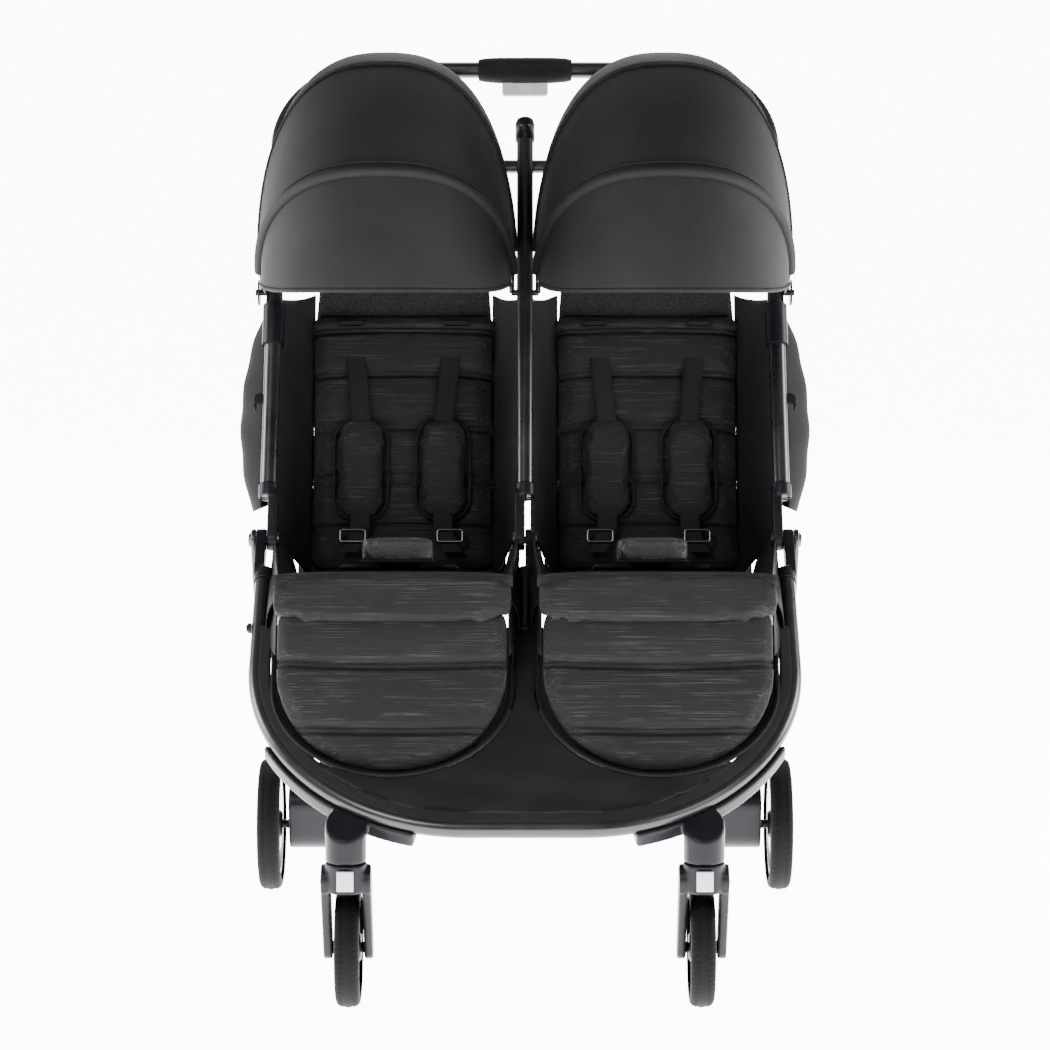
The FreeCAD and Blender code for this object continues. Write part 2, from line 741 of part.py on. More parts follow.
def handlebar(bend_at):
    """The tube that bends in from both sides and crosses at the top."""
    radius = handle_corner_radius
    straight = side_tube_x - radius
    turn = math.cos(math.pi / 4)
    first = upper_plane.at(-side_tube_x, bend_at)
    path = Part.Wire([
        Part.Arc(first, upper_plane.at(-straight - radius * turn, bend_at + radius * turn),
                 upper_plane.at(-straight, upper_frame_length)).toShape(),
        Part.makeLine(upper_plane.at(-straight, upper_frame_length), upper_plane.at(straight, upper_frame_length)),
        Part.Arc(upper_plane.at(straight, upper_frame_length),
                 upper_plane.at(straight + radius * turn, bend_at + radius * turn),
                 upper_plane.at(side_tube_x, bend_at)).toShape(),
    ])
    return swept_tube(path, first, upper_plane.along, tube_radius)


def handle_grip():
    """The moulded grip round the middle of the handlebar."""
    centre = upper_plane.at(0, upper_frame_length)
    half = grip_half_length
    grip = disc(-half, half, centre, grip_radius).cut(disc(-half, half, centre, tube_radius))
    pocket = box(-trigger_half_length - 1, trigger_half_length + 1, centre.y - trigger_half_width - 1,
                 centre.y + trigger_half_width + 1, centre.z - 2 * grip_radius, centre.z - tube_radius - 1.5)
    return grip.cut(pocket)


def fold_trigger():
    """The squeeze trigger under the grip."""
    centre = upper_plane.at(0, upper_frame_length)
    top = centre.z - tube_radius - trigger_gap
    trigger = box(-trigger_half_length, trigger_half_length, centre.y - trigger_half_width,
                  centre.y + trigger_half_width, top - trigger_height, top)
    return trigger.makeFillet(trigger_fillet, [edge for edge in trigger.Edges if edge.BoundBox.ZMax < top - 1])


def hood_brackets():
    """Sleeves on the three posts, with the pins that the hoods turn on."""
    pieces = []
    for x in (-side_tube_x, side_tube_x):
        sleeve = rod(upper_plane.at(x, sleeve_from), upper_plane.at(x, sleeve_to), sleeve_radius)
        bore = rod(upper_plane.at(x, sleeve_from - 1), upper_plane.at(x, sleeve_to + 1), tube_radius)
        pieces.append(sleeve.cut(bore))
        sign = 1 if x > 0 else -1
        start = x + sign * (tube_radius - tube_wall)
        pieces.append(disc(start, x + sign * (hood_outer_reach + hood_pin_end), hood_pivot, hood_pin_radius))
    reach = tube_radius + hood_inner_pin
    pieces.append(disc(-reach, reach, hood_pivot, hood_pin_radius))
    return pieces


# ---- backrests and side walls, on or near the upper frame ----

def backrests():
    meshes = []
    for side, sign in SIDES.items():
        x = sign * seat_centre_x
        pad = panel(back_plane, x - backrest_half_width, x + backrest_half_width, backrest_from, backrest_length,
                    -backrest_thickness, 0, seat_corner_radius, seat_corner_radius)
        mesh_half = backrest_half_width - mesh_inset
        mesh = panel(back_plane, x - mesh_half, x + mesh_half, backrest_length + piece_gap,
                     backrest_length + mesh_length, -backrest_thickness, -backrest_thickness + mesh_thickness,
                     5, mesh_corner_radius)
        meshes.append(mesh)
        save("backrest_" + side, pad)
        save("shoulder_straps_" + side, shoulder_straps(x))
    save("back_meshes", meshes)


def shoulder_straps(x):
    """Two straps down the backrest, each under a shoulder pad."""
    pieces = []
    for offset in (-strap_offset, strap_offset):
        centre = x + offset
        half = strap_width / 2
        pieces.append(panel(back_plane, centre - half, centre + half, strap_from, strap_to, piece_gap,
                            strap_thickness, 4, 4))
        half = shoulder_pad_width / 2
        pieces.append(panel(back_plane, centre - half, centre + half, shoulder_pad_from,
                            shoulder_pad_from + shoulder_pad_length, strap_thickness, shoulder_pad_lift,
                            shoulder_pad_corner, shoulder_pad_corner))
    return pieces


def wall_solid(sign):
    """A curved fabric wing that bulges outward behind a side tube, drawn up along the tube's slope."""
    faces = []
    for reach in (0.0, wall_thickness):
        inner = upper_plane.at(sign * (side_tube_x - wall_inner_inset + reach), wall_from, reach - wall_inner_drop)
        middle = upper_plane.at(sign * (side_tube_x + bulge_reach - reach), wall_from, -wall_middle_drop)
        outer = upper_plane.at(sign * (side_tube_x + wall_outer_reach - reach), wall_from, -wall_outer_drop - reach)
        faces.append((inner, middle, outer))
    outside, inside = faces
    edges = [
        Part.Arc(*outside).toShape(),
        Part.makeLine(outside[2], inside[2]),
        Part.Arc(inside[2], inside[1], inside[0]).toShape(),
        Part.makeLine(inside[0], outside[0]),
    ]
    return Part.Face(Part.Wire(edges)).extrude(upper_plane.along * wall_length)


# ---- hoods ----

def hood_section(sign, angle, nest, height):
    """The closed outline of a hood's shell in one plane through the pivots."""
    outer_x = side_tube_x + hood_outer_reach - nest
    inner_x = tube_radius - 2 + nest
    centre_x = (outer_x + inner_x) / 2
    turn = math.radians(angle)
    spread = Vector(0, math.cos(turn), math.sin(turn))
    curves = []
    for inset in (0, hood_thickness):
        half = (outer_x - inner_x) / 2 - inset
        rise = height - inset
        start = math.asin((hood_start_radius / rise) ** (hood_power / 2))
        points = []
        for step in range(hood_points + 1):
            at = start + (math.pi - 2 * start) * step / hood_points
            across = math.copysign(abs(math.cos(at)) ** (2 / hood_power), math.cos(at)) * half
            points.append(hood_pivot + spread * (rise * math.sin(at) ** (2 / hood_power))
                          + Vector(sign * centre_x + across, 0, 0))
        curve = Part.BSplineCurve()
        curve.interpolate(points)
        curves.append((curve.toShape(), points))
    outside, inside = curves
    caps = [Part.makeLine(outside[1][-1], inside[1][-1]), Part.makeLine(inside[1][0], outside[1][0])]
    return Part.Wire([outside[0], caps[0], inside[0], caps[1]])


def hood_shell(sign, from_angle, to_angle, nest):
    face = Part.Face(hood_section(sign, from_angle, nest, hood_height - nest))
    return face.revolve(hood_pivot, ALONG_X, to_angle - from_angle)


def hood_legs(sign, shell, angle, nest):
    """Two flat arms from the pivots out to the shell, added to it."""
    turn = math.radians(angle)
    far = hood_pivot + Vector(0, math.cos(turn), math.sin(turn)) * (hood_start_radius + 4)
    outer_x = sign * (side_tube_x + hood_outer_reach - nest - hood_thickness / 2)
    inner_x = sign * (tube_radius - 2 + nest + hood_thickness / 2)
    for start, end in ((outer_x, outer_x - sign * hood_thickness), (inner_x, inner_x + sign * hood_thickness)):
        arm = link(start, end, hood_pivot, far, hood_arm_radius, hood_arm_tip_radius)
        shell = shell.fuse(arm)
    return shell.cut(disc(2 * outer_x, 0, hood_pivot, hood_pin_radius + running_clearance))


def hoods():
    for side, sign in SIDES.items():
        sections = []
        steps = 4
        for step in range(steps + 1):
            share = step / steps
            angle = hood_seam_angle - piece_gap + (hood_rear_angle - hood_seam_angle) * share
            height = hood_height - (hood_height - hood_rear_height) * share ** 3
            sections.append(hood_section(sign, angle, 0, height))
        save("hood_rear_" + side, Part.makeLoft(sections, True, False))
        main = hood_shell(sign, hood_seam_angle + 3, hood_band_angle, hood_nest)
        save("hood_main_" + side, hood_legs(sign, main, hood_band_angle - 5, hood_nest))
        visor = hood_shell(sign, hood_band_angle + piece_gap, hood_visor_angle, 2 * hood_nest)
        save("visor_" + side, hood_legs(sign, visor, hood_visor_angle - 8, 2 * hood_nest))
        hub_x = side_tube_x + hood_outer_reach - hood_nest + hood_hub_gap
        hub_end = hub_x + hood_hub_thickness
        hub = disc(sign * hub_x, sign * hub_end, hood_pivot, hood_hub_radius)
        bore = disc(sign * (hub_x - 1), sign * (hub_end + 1), hood_pivot, hood_pin_radius + running_clearance)
        save("hood_hub_" + side, hub.cut(bore))


front_frame()
corner_brackets()
main_hinges()
latch_stud()
apron()
basket()
seats()
calf_pads()
casters()
rear_legs()
upper_frame()
backrests()
save("side_walls", [wall_solid(sign) for sign in SIDES.values()])
hoods()
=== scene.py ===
import json
import math

import bpy
from mathutils import Matrix, Vector


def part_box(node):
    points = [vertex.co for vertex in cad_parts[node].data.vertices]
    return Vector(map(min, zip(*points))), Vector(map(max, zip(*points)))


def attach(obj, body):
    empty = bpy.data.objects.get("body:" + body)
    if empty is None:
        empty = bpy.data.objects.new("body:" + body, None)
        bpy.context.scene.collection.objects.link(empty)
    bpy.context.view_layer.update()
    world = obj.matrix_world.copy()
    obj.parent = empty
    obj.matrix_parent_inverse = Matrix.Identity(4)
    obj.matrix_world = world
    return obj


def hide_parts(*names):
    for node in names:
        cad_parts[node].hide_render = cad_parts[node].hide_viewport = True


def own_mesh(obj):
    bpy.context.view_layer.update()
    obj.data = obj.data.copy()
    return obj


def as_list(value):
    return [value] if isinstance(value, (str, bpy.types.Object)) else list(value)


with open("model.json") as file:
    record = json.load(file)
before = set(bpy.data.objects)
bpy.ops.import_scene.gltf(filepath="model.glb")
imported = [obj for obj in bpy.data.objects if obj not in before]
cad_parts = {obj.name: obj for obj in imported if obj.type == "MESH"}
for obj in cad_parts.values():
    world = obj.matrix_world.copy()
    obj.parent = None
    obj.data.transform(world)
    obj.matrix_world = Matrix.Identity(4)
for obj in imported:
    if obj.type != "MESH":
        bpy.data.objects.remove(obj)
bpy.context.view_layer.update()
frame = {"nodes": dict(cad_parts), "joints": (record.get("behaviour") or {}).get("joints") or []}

# ---- places, in metres, read from the frame ----
SIDES = {"left": -1, "right": 1}
joints = {joint["name"]: joint for joint in frame["joints"]}
hinge = Vector(joints["frame_fold"]["pos_m"])
hood_pivot = Vector(joints["hood_left"]["pos_m"])
calf_bar = Vector(joints["calf_rest_left"]["pos_m"])
back_pivot = Vector(joints["backrest_left"]["pos_m"])
MM = 0.001


def low(node):
    return Vector(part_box(node)[0])


def high(node):
    return Vector(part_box(node)[1])


def middle(node):
    return (low(node) + high(node)) / 2


tube_x = middle("upper_side_tube_right").x
tube_radius = (high("upper_side_tube_right").x - low("upper_side_tube_right").x) / 2
seat_x = middle("backrest_right").x
back_half = (high("backrest_right").x - low("backrest_right").x) / 2
calf_half = (high("calf_pad_right").x - low("calf_pad_right").x) / 2


class Plane:
    """A sloping line in the Y-Z plane; places are given by distance along it and lift off it."""

    def __init__(self, origin, angle, side):
        turn = math.radians(angle)
        self.origin = Vector((0, origin.y, origin.z))
        self.along = Vector((0, math.cos(turn), math.sin(turn)))
        self.normal = Vector((0, -math.sin(turn) * side, math.cos(turn) * side))

    def at(self, x, distance, lift=0.0):
        return self.origin + self.along * distance + self.normal * lift + Vector((x, 0, 0))

    def measure(self, point):
        """Distance along and lift of a point."""
        offset = point - self.origin
        return offset.dot(self.along), offset.dot(self.normal)


FRONT_ANGLE = 214.5
UPPER_ANGLE = 56.5
BACK_ANGLE = 65.8
SEAT_ANGLE = 168.9
CALF_ANGLE = 238.4
PAD = 24 * MM
CORNER_PULL = 0.2625  # how far the corners of a soft block draw in, as a share of its half size
front = Plane(hinge, FRONT_ANGLE, -1)
upper = Plane(hinge, UPPER_ANGLE, 1)
back = Plane(back_pivot, BACK_ANGLE, 1)
back.origin += back.normal * PAD / 2
seat = Plane(calf_bar, SEAT_ANGLE, -1)
seat.origin += seat.normal * PAD / 2
calf = Plane(calf_bar, CALF_ANGLE, -1)


# ---- finishes ----

class Signal:
    """The value of a node's socket; arithmetic on it adds Math nodes."""

    def __init__(self, finish, socket):
        self.finish = finish
        self.socket = socket

    def _math(self, operation, first, second):
        node = self.finish.node("ShaderNodeMath", {"operation": operation}, {0: first, 1: second})
        return Signal(self.finish, node.outputs[0])

    def __add__(self, other):
        return self._math("ADD", self, other)

    def __radd__(self, other):
        return self._math("ADD", other, self)

    def __rsub__(self, other):
        return self._math("SUBTRACT", other, self)

    def __mul__(self, other):
        return self._math("MULTIPLY", self, other)

    def __rmul__(self, other):
        return self._math("MULTIPLY", other, self)


class Finish:
    """A material built from one Principled shader and procedural nodes."""

    def __init__(self, name, roughness=0.6, **constants):
        self.material = bpy.data.materials.new(name)
        self.material.use_nodes = True
        self.tree = self.material.node_tree
        self.shader = self.tree.nodes["Principled BSDF"]
        self.shader.inputs["Roughness"].default_value = roughness
        for socket, value in constants.items():
            self.shader.inputs[socket.replace("_", " ")].default_value = value

    def node(self, kind, settings=None, inputs=None):
        node = self.tree.nodes.new(kind)
        for key, value in (settings or {}).items():
            setattr(node, key, value)
        for key, value in (inputs or {}).items():
            if isinstance(value, Signal):
                self.tree.links.new(value.socket, node.inputs[key])
            else:
                node.inputs[key].default_value = value
        return node

    def coordinates(self, scale=(1, 1, 1)):
        source = Signal(self, self.node("ShaderNodeTexCoord").outputs["Object"])
        mapping = self.node("ShaderNodeMapping", {}, {"Vector": source, "Scale": scale})
        return Signal(self, mapping.outputs[0])

    def noise(self, where, scale, detail=2.0, rough=0.5):
        node = self.node("ShaderNodeTexNoise", {}, {"Vector": where, "Scale": scale, "Detail": detail,
                                                    "Roughness": rough})
        return Signal(self, node.outputs[0])

    def wave(self, where, direction, scale, distortion=0.0):
        node = self.node("ShaderNodeTexWave", {"bands_direction": direction},
                         {"Vector": where, "Scale": scale, "Distortion": distortion, "Detail": 1.0,
                          "Detail Scale": 2.0})
        return Signal(self, node.outputs["Fac"])

    def cells(self, where, scale):
        node = self.node("ShaderNodeTexVoronoi", {"feature": "F1"}, {"Vector": where, "Scale": scale})
        return Signal(self, node.outputs["Distance"])

    def ramp(self, value, start, end):
        node = self.node("ShaderNodeMapRange", {}, {"Value": value, "From Min": start, "From Max": end})
        return Signal(self, node.outputs[0])

    def blend(self, amount, first, second):
        node = self.node("ShaderNodeMix", {"data_type": "RGBA"}, {"Factor": amount})
        node.inputs[6].default_value = (*first, 1)
        node.inputs[7].default_value = (*second, 1)
        return Signal(self, node.outputs[2])

    def feed(self, socket, signal):
        self.tree.links.new(signal.socket, self.shader.inputs[socket])

    def colour(self, amount, dark, light):
        self.feed("Base Color", self.blend(amount, dark, light))

    def emboss(self, height, distance, strength=1.0):
        bump = self.node("ShaderNodeBump", {}, {"Height": height, "Distance": distance, "Strength": strength})
        self.tree.links.new(bump.outputs[0], self.shader.inputs["Normal"])


def woven(name, dark, light, pitch=0.0011, roughness=0.85, relief=0.00025):
    """A plain weave: fine crossed threads over soft mottling."""
    cloth = Finish(name, roughness, Specular_IOR_Level=0.1)
    where = cloth.coordinates()
    threads = 0.25 / pitch
    across = cloth.wave(where, "X", threads, 0.6)
    down = cloth.wave(where, "Z", threads, 0.6)
    weave = across * 0.5 + down * 0.5
    mottle = cloth.noise(where, 9.0, 4.0, 0.6)
    fine = cloth.noise(where, 600.0, 2.0)
    tone = cloth.ramp(mottle * 0.55 + fine * 0.25 + weave * 0.2, 0.3, 0.75)
    cloth.colour(tone, dark, light)
    cloth.feed("Roughness", roughness - 0.12 * mottle)
    creases = cloth.noise(cloth.coordinates((1, 1, 0.55)), 14.0, 3.0, 0.55)
    cloth.emboss(weave * 0.35 + fine * 0.2 + creases * 6.0, relief)
    return cloth.material


def ribbed(name, dark, light):
    """Slubbed cloth: fine broken ribs of thicker yarn across a darker ground."""
    cloth = Finish(name, 0.8, Specular_IOR_Level=0.16)
    ribs = cloth.noise(cloth.coordinates((10, 520, 520)), 1.0, 2.0, 0.55)
    broken = cloth.noise(cloth.coordinates((22, 60, 60)), 1.0, 3.0, 0.6)
    fine = cloth.noise(cloth.coordinates(), 700.0, 2.0)
    slub = cloth.ramp(ribs, 0.48, 0.68) * cloth.ramp(broken, 0.4, 0.62)
    cloth.colour(slub * 0.85 + fine * 0.15, dark, light)
    cloth.feed("Roughness", 0.85 - 0.25 * slub)
    creases = cloth.noise(cloth.coordinates((1, 1, 0.7)), 11.0, 2.0, 0.5)
    cloth.emboss(slub + creases * 3.0 + fine * 0.25, 0.0009, 0.8)
    return cloth.material


def webbing_finish(name, tone):
    strap = Finish(name, 0.7, Specular_IOR_Level=0.12)
    where = strap.coordinates()
    ribs = strap.wave(where, "DIAGONAL", 260.0, 0.8)
    fine = strap.noise(where, 500.0, 2.0)
    darker = tuple(c * 0.55 for c in tone)
    strap.colour(ribs * 0.6 + fine * 0.4, darker, tone)
    strap.feed("Roughness", 0.78 - 0.15 * ribs)
    strap.emboss(ribs * 0.6 + fine * 0.4, 0.0004)
    return strap.material


def vinyl_finish():
    skin = Finish("soft_vinyl", 0.42, Specular_IOR_Level=0.35)
    where = skin.coordinates()
    grain = skin.cells(where, 520.0)
    wear = skin.noise(where, 30.0, 4.0, 0.6)
    skin.colour(wear, (0.0050, 0.0050, 0.0054), (0.0150, 0.0150, 0.0160))
    skin.feed("Roughness", 0.34 + 0.25 * wear)
    skin.emboss(grain + wear * 0.8, 0.0005)
    return skin.material


def moulded(name, dark, light, roughness, grain=1400.0, relief=0.00008):
    """Moulded plastic: fine spark-eroded grain with faint handling marks."""
    plastic = Finish(name, roughness, Specular_IOR_Level=0.12)
    where = plastic.coordinates()
    speck = plastic.noise(where, grain, 2.0)
    marks = plastic.noise(where, 26.0, 5.0, 0.65)
    plastic.colour(plastic.ramp(marks, 0.3, 0.75), dark, light)
    plastic.feed("Roughness", roughness - 0.08 + 0.22 * marks)
    plastic.emboss(speck + marks * 1.2, relief)
    return plastic.material


def tube_finish():
    """Black satin coating on aluminium, with faint long draw marks and rubbed spots."""
    coat = Finish("black_tube", 0.3, Specular_IOR_Level=0.4)
    where = coat.coordinates()
    marks = coat.noise(where, 18.0, 5.0, 0.6)
    peel = coat.noise(where, 900.0, 1.0)
    rubbed = coat.ramp(marks, 0.35, 0.8)
    coat.colour(rubbed, (0.0030, 0.0030, 0.0036), (0.0075, 0.0075, 0.0085))
    coat.feed("Roughness", 0.2 + 0.2 * marks)
    coat.emboss(peel * 0.5 + marks, 0.00006)
    return coat.material


def metal_finish(name, tone, roughness):
    metal = Finish(name, roughness, Metallic=1.0)
    where = metal.coordinates((1, 1, 1))
    brushed = metal.noise(metal.coordinates((300, 20, 20)), 4.0, 3.0, 0.6)
    cloud = metal.noise(where, 40.0, 3.0)
    shade = tuple(c * 0.7 for c in tone)
    metal.colour(cloud, shade, tone)
    metal.feed("Roughness", roughness - 0.08 + 0.2 * brushed)
    metal.emboss(brushed, 0.00005)
    return metal.material


def rubber_finish(name, tone):
    rubber = Finish(name, 0.75, Specular_IOR_Level=0.08)
    where = rubber.coordinates()
    dust = rubber.noise(where, 35.0, 5.0, 0.7)
    grain = rubber.noise(where, 1100.0, 2.0)
    lighter = tuple(c * 2.2 for c in tone)
    rubber.colour(rubber.ramp(dust, 0.4, 0.85), tone, lighter)
    rubber.feed("Roughness", 0.66 + 0.24 * dust)
    rubber.emboss(grain + dust, 0.00012)
    return rubber.material


def net_finish():
    """Open knitted net: small dark holes in rows."""
    net = Finish("knitted_net", 0.85, Specular_IOR_Level=0.1)
    where = net.coordinates()
    holes = net.ramp(net.cells(where, 420.0), 0.15, 0.5)
    rows = net.wave(where, "Z", 130.0, 1.5)
    knit = holes * 0.7 + rows * 0.3
    net.colour(knit, (0.0025, 0.0025, 0.0028), (0.0160, 0.0160, 0.0172))
    net.feed("Roughness", 0.95 - 0.2 * holes)
    net.emboss(holes + rows * 0.5, 0.0008)
    return net.material


HOOD_CLOTH = woven("hood_cloth", (0.0036, 0.0037, 0.0040), (0.0078, 0.0080, 0.0086))
VISOR_CLOTH = woven("visor_cloth", (0.0040, 0.0041, 0.0044), (0.0082, 0.0084, 0.0089))
SIDE_CLOTH = woven("side_cloth", (0.0035, 0.0035, 0.0040), (0.0085, 0.0085, 0.0094))
BINDING = woven("binding_tape", (0.0030, 0.0030, 0.0033), (0.0080, 0.0080, 0.0086), pitch=0.0007)
PAD_CLOTH = ribbed("pad_cloth", (0.0045, 0.0045, 0.0049), (0.0190, 0.0190, 0.0200))
WEBBING = webbing_finish("strap_webbing", (0.0075, 0.0075, 0.0080))
VINYL = vinyl_finish()
PLASTIC = moulded("black_moulding", (0.0020, 0.0023, 0.0032), (0.0042, 0.0047, 0.0062), 0.36)
BUTTON = moulded("pale_button", (0.30, 0.31, 0.33), (0.42, 0.43, 0.45), 0.42)
RIM_GREY = moulded("rim_moulding", (0.0050, 0.0050, 0.0056), (0.0120, 0.0122, 0.0132), 0.4)
GRIP = rubber_finish("grip_rubber", (0.0050, 0.0050, 0.0054))
TYRE = rubber_finish("tyre_rubber", (0.0018, 0.0018, 0.0019))
TUBE = tube_finish()
STEEL = metal_finish("pin_steel", (0.10, 0.10, 0.11), 0.32)
SILVER = metal_finish("silver_ring", (0.55, 0.56, 0.58), 0.28)
NET = net_finish()


# ---- making pieces ----

def deselect():
    bpy.ops.object.select_all(action="DESELECT")


def take(piece):
    """Make one piece the selected and active object."""
    deselect()
    piece.select_set(True)
    bpy.context.view_layer.objects.active = piece


def dress(piece, material, body):
    """Give a finished piece its material and body."""
    piece.data.materials.clear()
    piece.data.materials.append(material)
    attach(piece, body)
    return piece


def smooth(piece):
    take(piece)
    bpy.ops.object.shade_smooth()


def cube(name):
    """A cube of one metre, as a new piece."""
    deselect()
    bpy.ops.mesh.primitive_cube_add(size=1, location=(0, 0, 0))
    piece = bpy.context.object
    piece.name = name
    piece.data.name = name
    return piece


def add_mesh(mesh, name):
    """A new piece with a copy of a mesh."""
    piece = bpy.data.objects.new(name, mesh.copy())
    piece.data.name = name
    bpy.context.collection.objects.link(piece)
    return piece


def apply_modifier(piece, kind, **settings):
    take(piece)
    modifier = piece.modifiers.new("step", kind)
    for key, value in settings.items():
        setattr(modifier, key, value)
    bpy.ops.object.modifier_apply(modifier=modifier.name)


def tidy(piece, merge=0.00005):
    """Merge doubles and turn all faces outwards."""
    take(piece)
    bpy.ops.object.mode_set(mode="EDIT")
    bpy.ops.mesh.select_all(action="SELECT")
    bpy.ops.mesh.remove_doubles(threshold=merge)
    bpy.ops.mesh.normals_make_consistent(inside=False)
    bpy.ops.object.mode_set(mode="OBJECT")
    bpy.ops.object.shade_smooth()


def sheet(name, across, along, place, thickness=0.0, offset=0.0):
    """A curved sheet: a grid whose points are put in place by a function of two shares, 0 to 1."""
    deselect()
    bpy.ops.mesh.primitive_grid_add(x_subdivisions=across, y_subdivisions=along, size=1, location=(0, 0, 0))
    piece = bpy.context.object
    piece.name = name
    piece.data.name = name
    for vertex in piece.data.vertices:
        vertex.co = place(vertex.co.x + 0.5, vertex.co.y + 0.5)
    if thickness:
        tidy(piece)
        apply_modifier(piece, "SOLIDIFY", thickness=thickness, offset=offset, use_even_offset=False)
    bpy.ops.object.shade_smooth()
    return piece


def cloth(piece, flat, rests_on, held="stretched", area=None):
    """A sheet of cloth cut to a flat size: only what it rests on is turned into a list, and nothing is kept.
    """
    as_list(rests_on)


def piping(name, points, radius, sides=8, closed=False):
    """A round cord of cloth or wire along points."""
    curve = bpy.data.curves.new(name, "CURVE")
    curve.dimensions = "3D"
    curve.bevel_depth = radius
    curve.bevel_resolution = max(1, sides // 4)
    curve.use_fill_caps = True
    spline = curve.splines.new("POLY")
    spline.points.add(len(points) - 1)
    for spot, point in zip(spline.points, points):
        spot.co = (*point, 1)
    spline.use_cyclic_u = closed
    piece = bpy.data.objects.new(name, curve)
    bpy.context.collection.objects.link(piece)
    take(piece)
    bpy.ops.object.convert(target="MESH")
    piece = bpy.context.object
    bpy.ops.object.shade_smooth()
    return piece


def strap(name, points, across, width, thickness=0.0016):
    """A flat strap along points, its width lying along one vector."""
    count = len(points) - 1

    def place(u, v):
        at = v * count
        index = min(int(at), count - 1)
        spot = points[index].lerp(points[index + 1], at - index)
        return spot + across * ((u - 0.5) * width)

    return sheet(name, 6, max(count * 3, 8), place, thickness)


def turned(name, centre, profile, segments=72, ripple=None):
    """A round piece about an axis along X: a profile of (offset along X, radius) spun right round."""
    count = len(profile) - 1

    def place(u, v):
        turn = 2 * math.pi * u
        offset, radius = profile[round(v * count)]
        if ripple:
            radius += ripple(turn, offset, radius)
        return centre + Vector((offset, radius * math.cos(turn), radius * math.sin(turn)))

    piece = sheet(name, segments, count, place)
    tidy(piece)
    return piece


def soft_block(name, plane, x, half_width, start, end, lift_low, lift_high, cells=26):
    """A flat block with rounded corners, the start of a pad."""
    def place(u, v):
        across = 2 * u - 1
        down = 2 * v - 1
        round_x = across * (1 - CORNER_PULL * down ** 8)
        round_y = down * (1 - CORNER_PULL * across ** 8)
        return plane.at(x + half_width * round_x, (start + end) / 2 + (end - start) / 2 * round_y, lift_high)

    return sheet(name, cells, cells, place, thickness=lift_high - lift_low, offset=0.0)


def copy_node(node, name):
    """A new piece with a merged copy of a CAD node's mesh."""
    piece = add_mesh(frame["nodes"][node].data, name)
    tidy(piece)
    return piece


def soften(node, name, voxel, rounds, material, body):
    """A moulded piece: a CAD node's shape remeshed and smoothed, so its edges turn into fillets."""
    piece = copy_node(node, name)
    apply_modifier(piece, "REMESH", mode="VOXEL", voxel_size=voxel)
    apply_modifier(piece, "SMOOTH", factor=0.5, iterations=rounds)
    smooth(piece)
    dress(piece, material, body)
    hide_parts(node)
    return piece


def inflate(piece, cap, voxel=0.006, pressure=4.0, shrink=0.0015):
    """Swell a closed shape into a stuffed pad by cloth simulation, within a cap on its movement."""
    apply_modifier(piece, "REMESH", mode="VOXEL", voxel_size=voxel)
    for vertex in piece.data.vertices:
        vertex.co -= vertex.normal * shrink
    start = [vertex.co.copy() for vertex in piece.data.vertices]
    take(piece)
    modifier = piece.modifiers.new("stuffing", "CLOTH")
    modifier.settings.use_pressure = True
    modifier.settings.uniform_pressure_force = pressure
    modifier.settings.quality = 4
    modifier.settings.effector_weights.gravity = 0
    scene = bpy.context.scene
    for step in range(1, 21):
        scene.frame_set(step)
    bpy.ops.object.modifier_apply(modifier=modifier.name)
    scene.frame_set(1)
    for vertex, origin in zip(piece.data.vertices, start):
        moved = vertex.co - origin
        if moved.length > cap:
            vertex.co = origin + moved * (cap / moved.length)
    apply_modifier(piece, "SMOOTH", factor=0.5, iterations=2)
    apply_modifier(piece, "SUBSURF", levels=1, render_levels=1)
    smooth(piece)


def groove(distance, width, depth):
    return -depth * math.exp(-(distance / width) ** 2)


def press(piece, plane, shape, middle_lift):
    """Push the front of a pad in or out by a function of (x, distance along)."""
    for vertex in piece.data.vertices:
        distance, lift = plane.measure(vertex.co)
        if lift > middle_lift:
            vertex.co += plane.normal * shape(vertex.co.x, distance)


def mirrored(piece, name):
    """A copy on the other side."""
    twin = add_mesh(piece.data, name)
    twin.data.transform(Matrix.Scale(-1, 4, Vector((1, 0, 0))))
    twin.data.flip_normals()
    return twin


# ---- stuffed pads ----

def quilt(seams, centre, half, depth=0.0062, gap=0.007, width=0.0030, puff=0.003):
    """A shape function: double-stitched channels across a pad, with puffed rows between them."""
    def shape(x, distance):
        lift = 0.0
        distance -= 0.005 * (1 - ((x - centre) / half) ** 2)
        for seam in seams:
            for row in (gap / 2, -gap / 2):
                lift += groove(distance - seam - row, width, depth)
        for first, second in zip(seams, seams[1:]):
            if first < distance < second:
                lift += puff * math.sin(math.pi * (distance - first) / (second - first))
        return lift
    return shape


def rim_points(plane, x, half, start, end, lift, corner_start, corner_end, steps=10):
    """Points round a rounded rectangle on a plane."""
    points = []
    corners = [(-1, end, corner_end, math.pi / 2), (-1, start, corner_start, math.pi),
               (1, start, corner_start, 1.5 * math.pi), (1, end, corner_end, 0)]
    for side, edge, radius, base in corners:
        inward = -1 if edge == end else 1
        centre_x = x + side * (half - radius)
        centre_s = edge + inward * radius
        for step in range(steps + 1):
            turn = base + math.pi / 2 * step / steps
            points.append(plane.at(centre_x + radius * math.cos(turn), centre_s + radius * math.sin(turn),
                                   lift))
    return points


STRAP_OFFSETS = (-0.054, 0.054)
BACK_SEAMS = [0.0615, 0.1295, 0.2025, 0.276, 0.337]
SEAT_SEAMS = [-0.24, -0.17, -0.10]
CALF_SEAMS = [0.028, 0.100, 0.183]


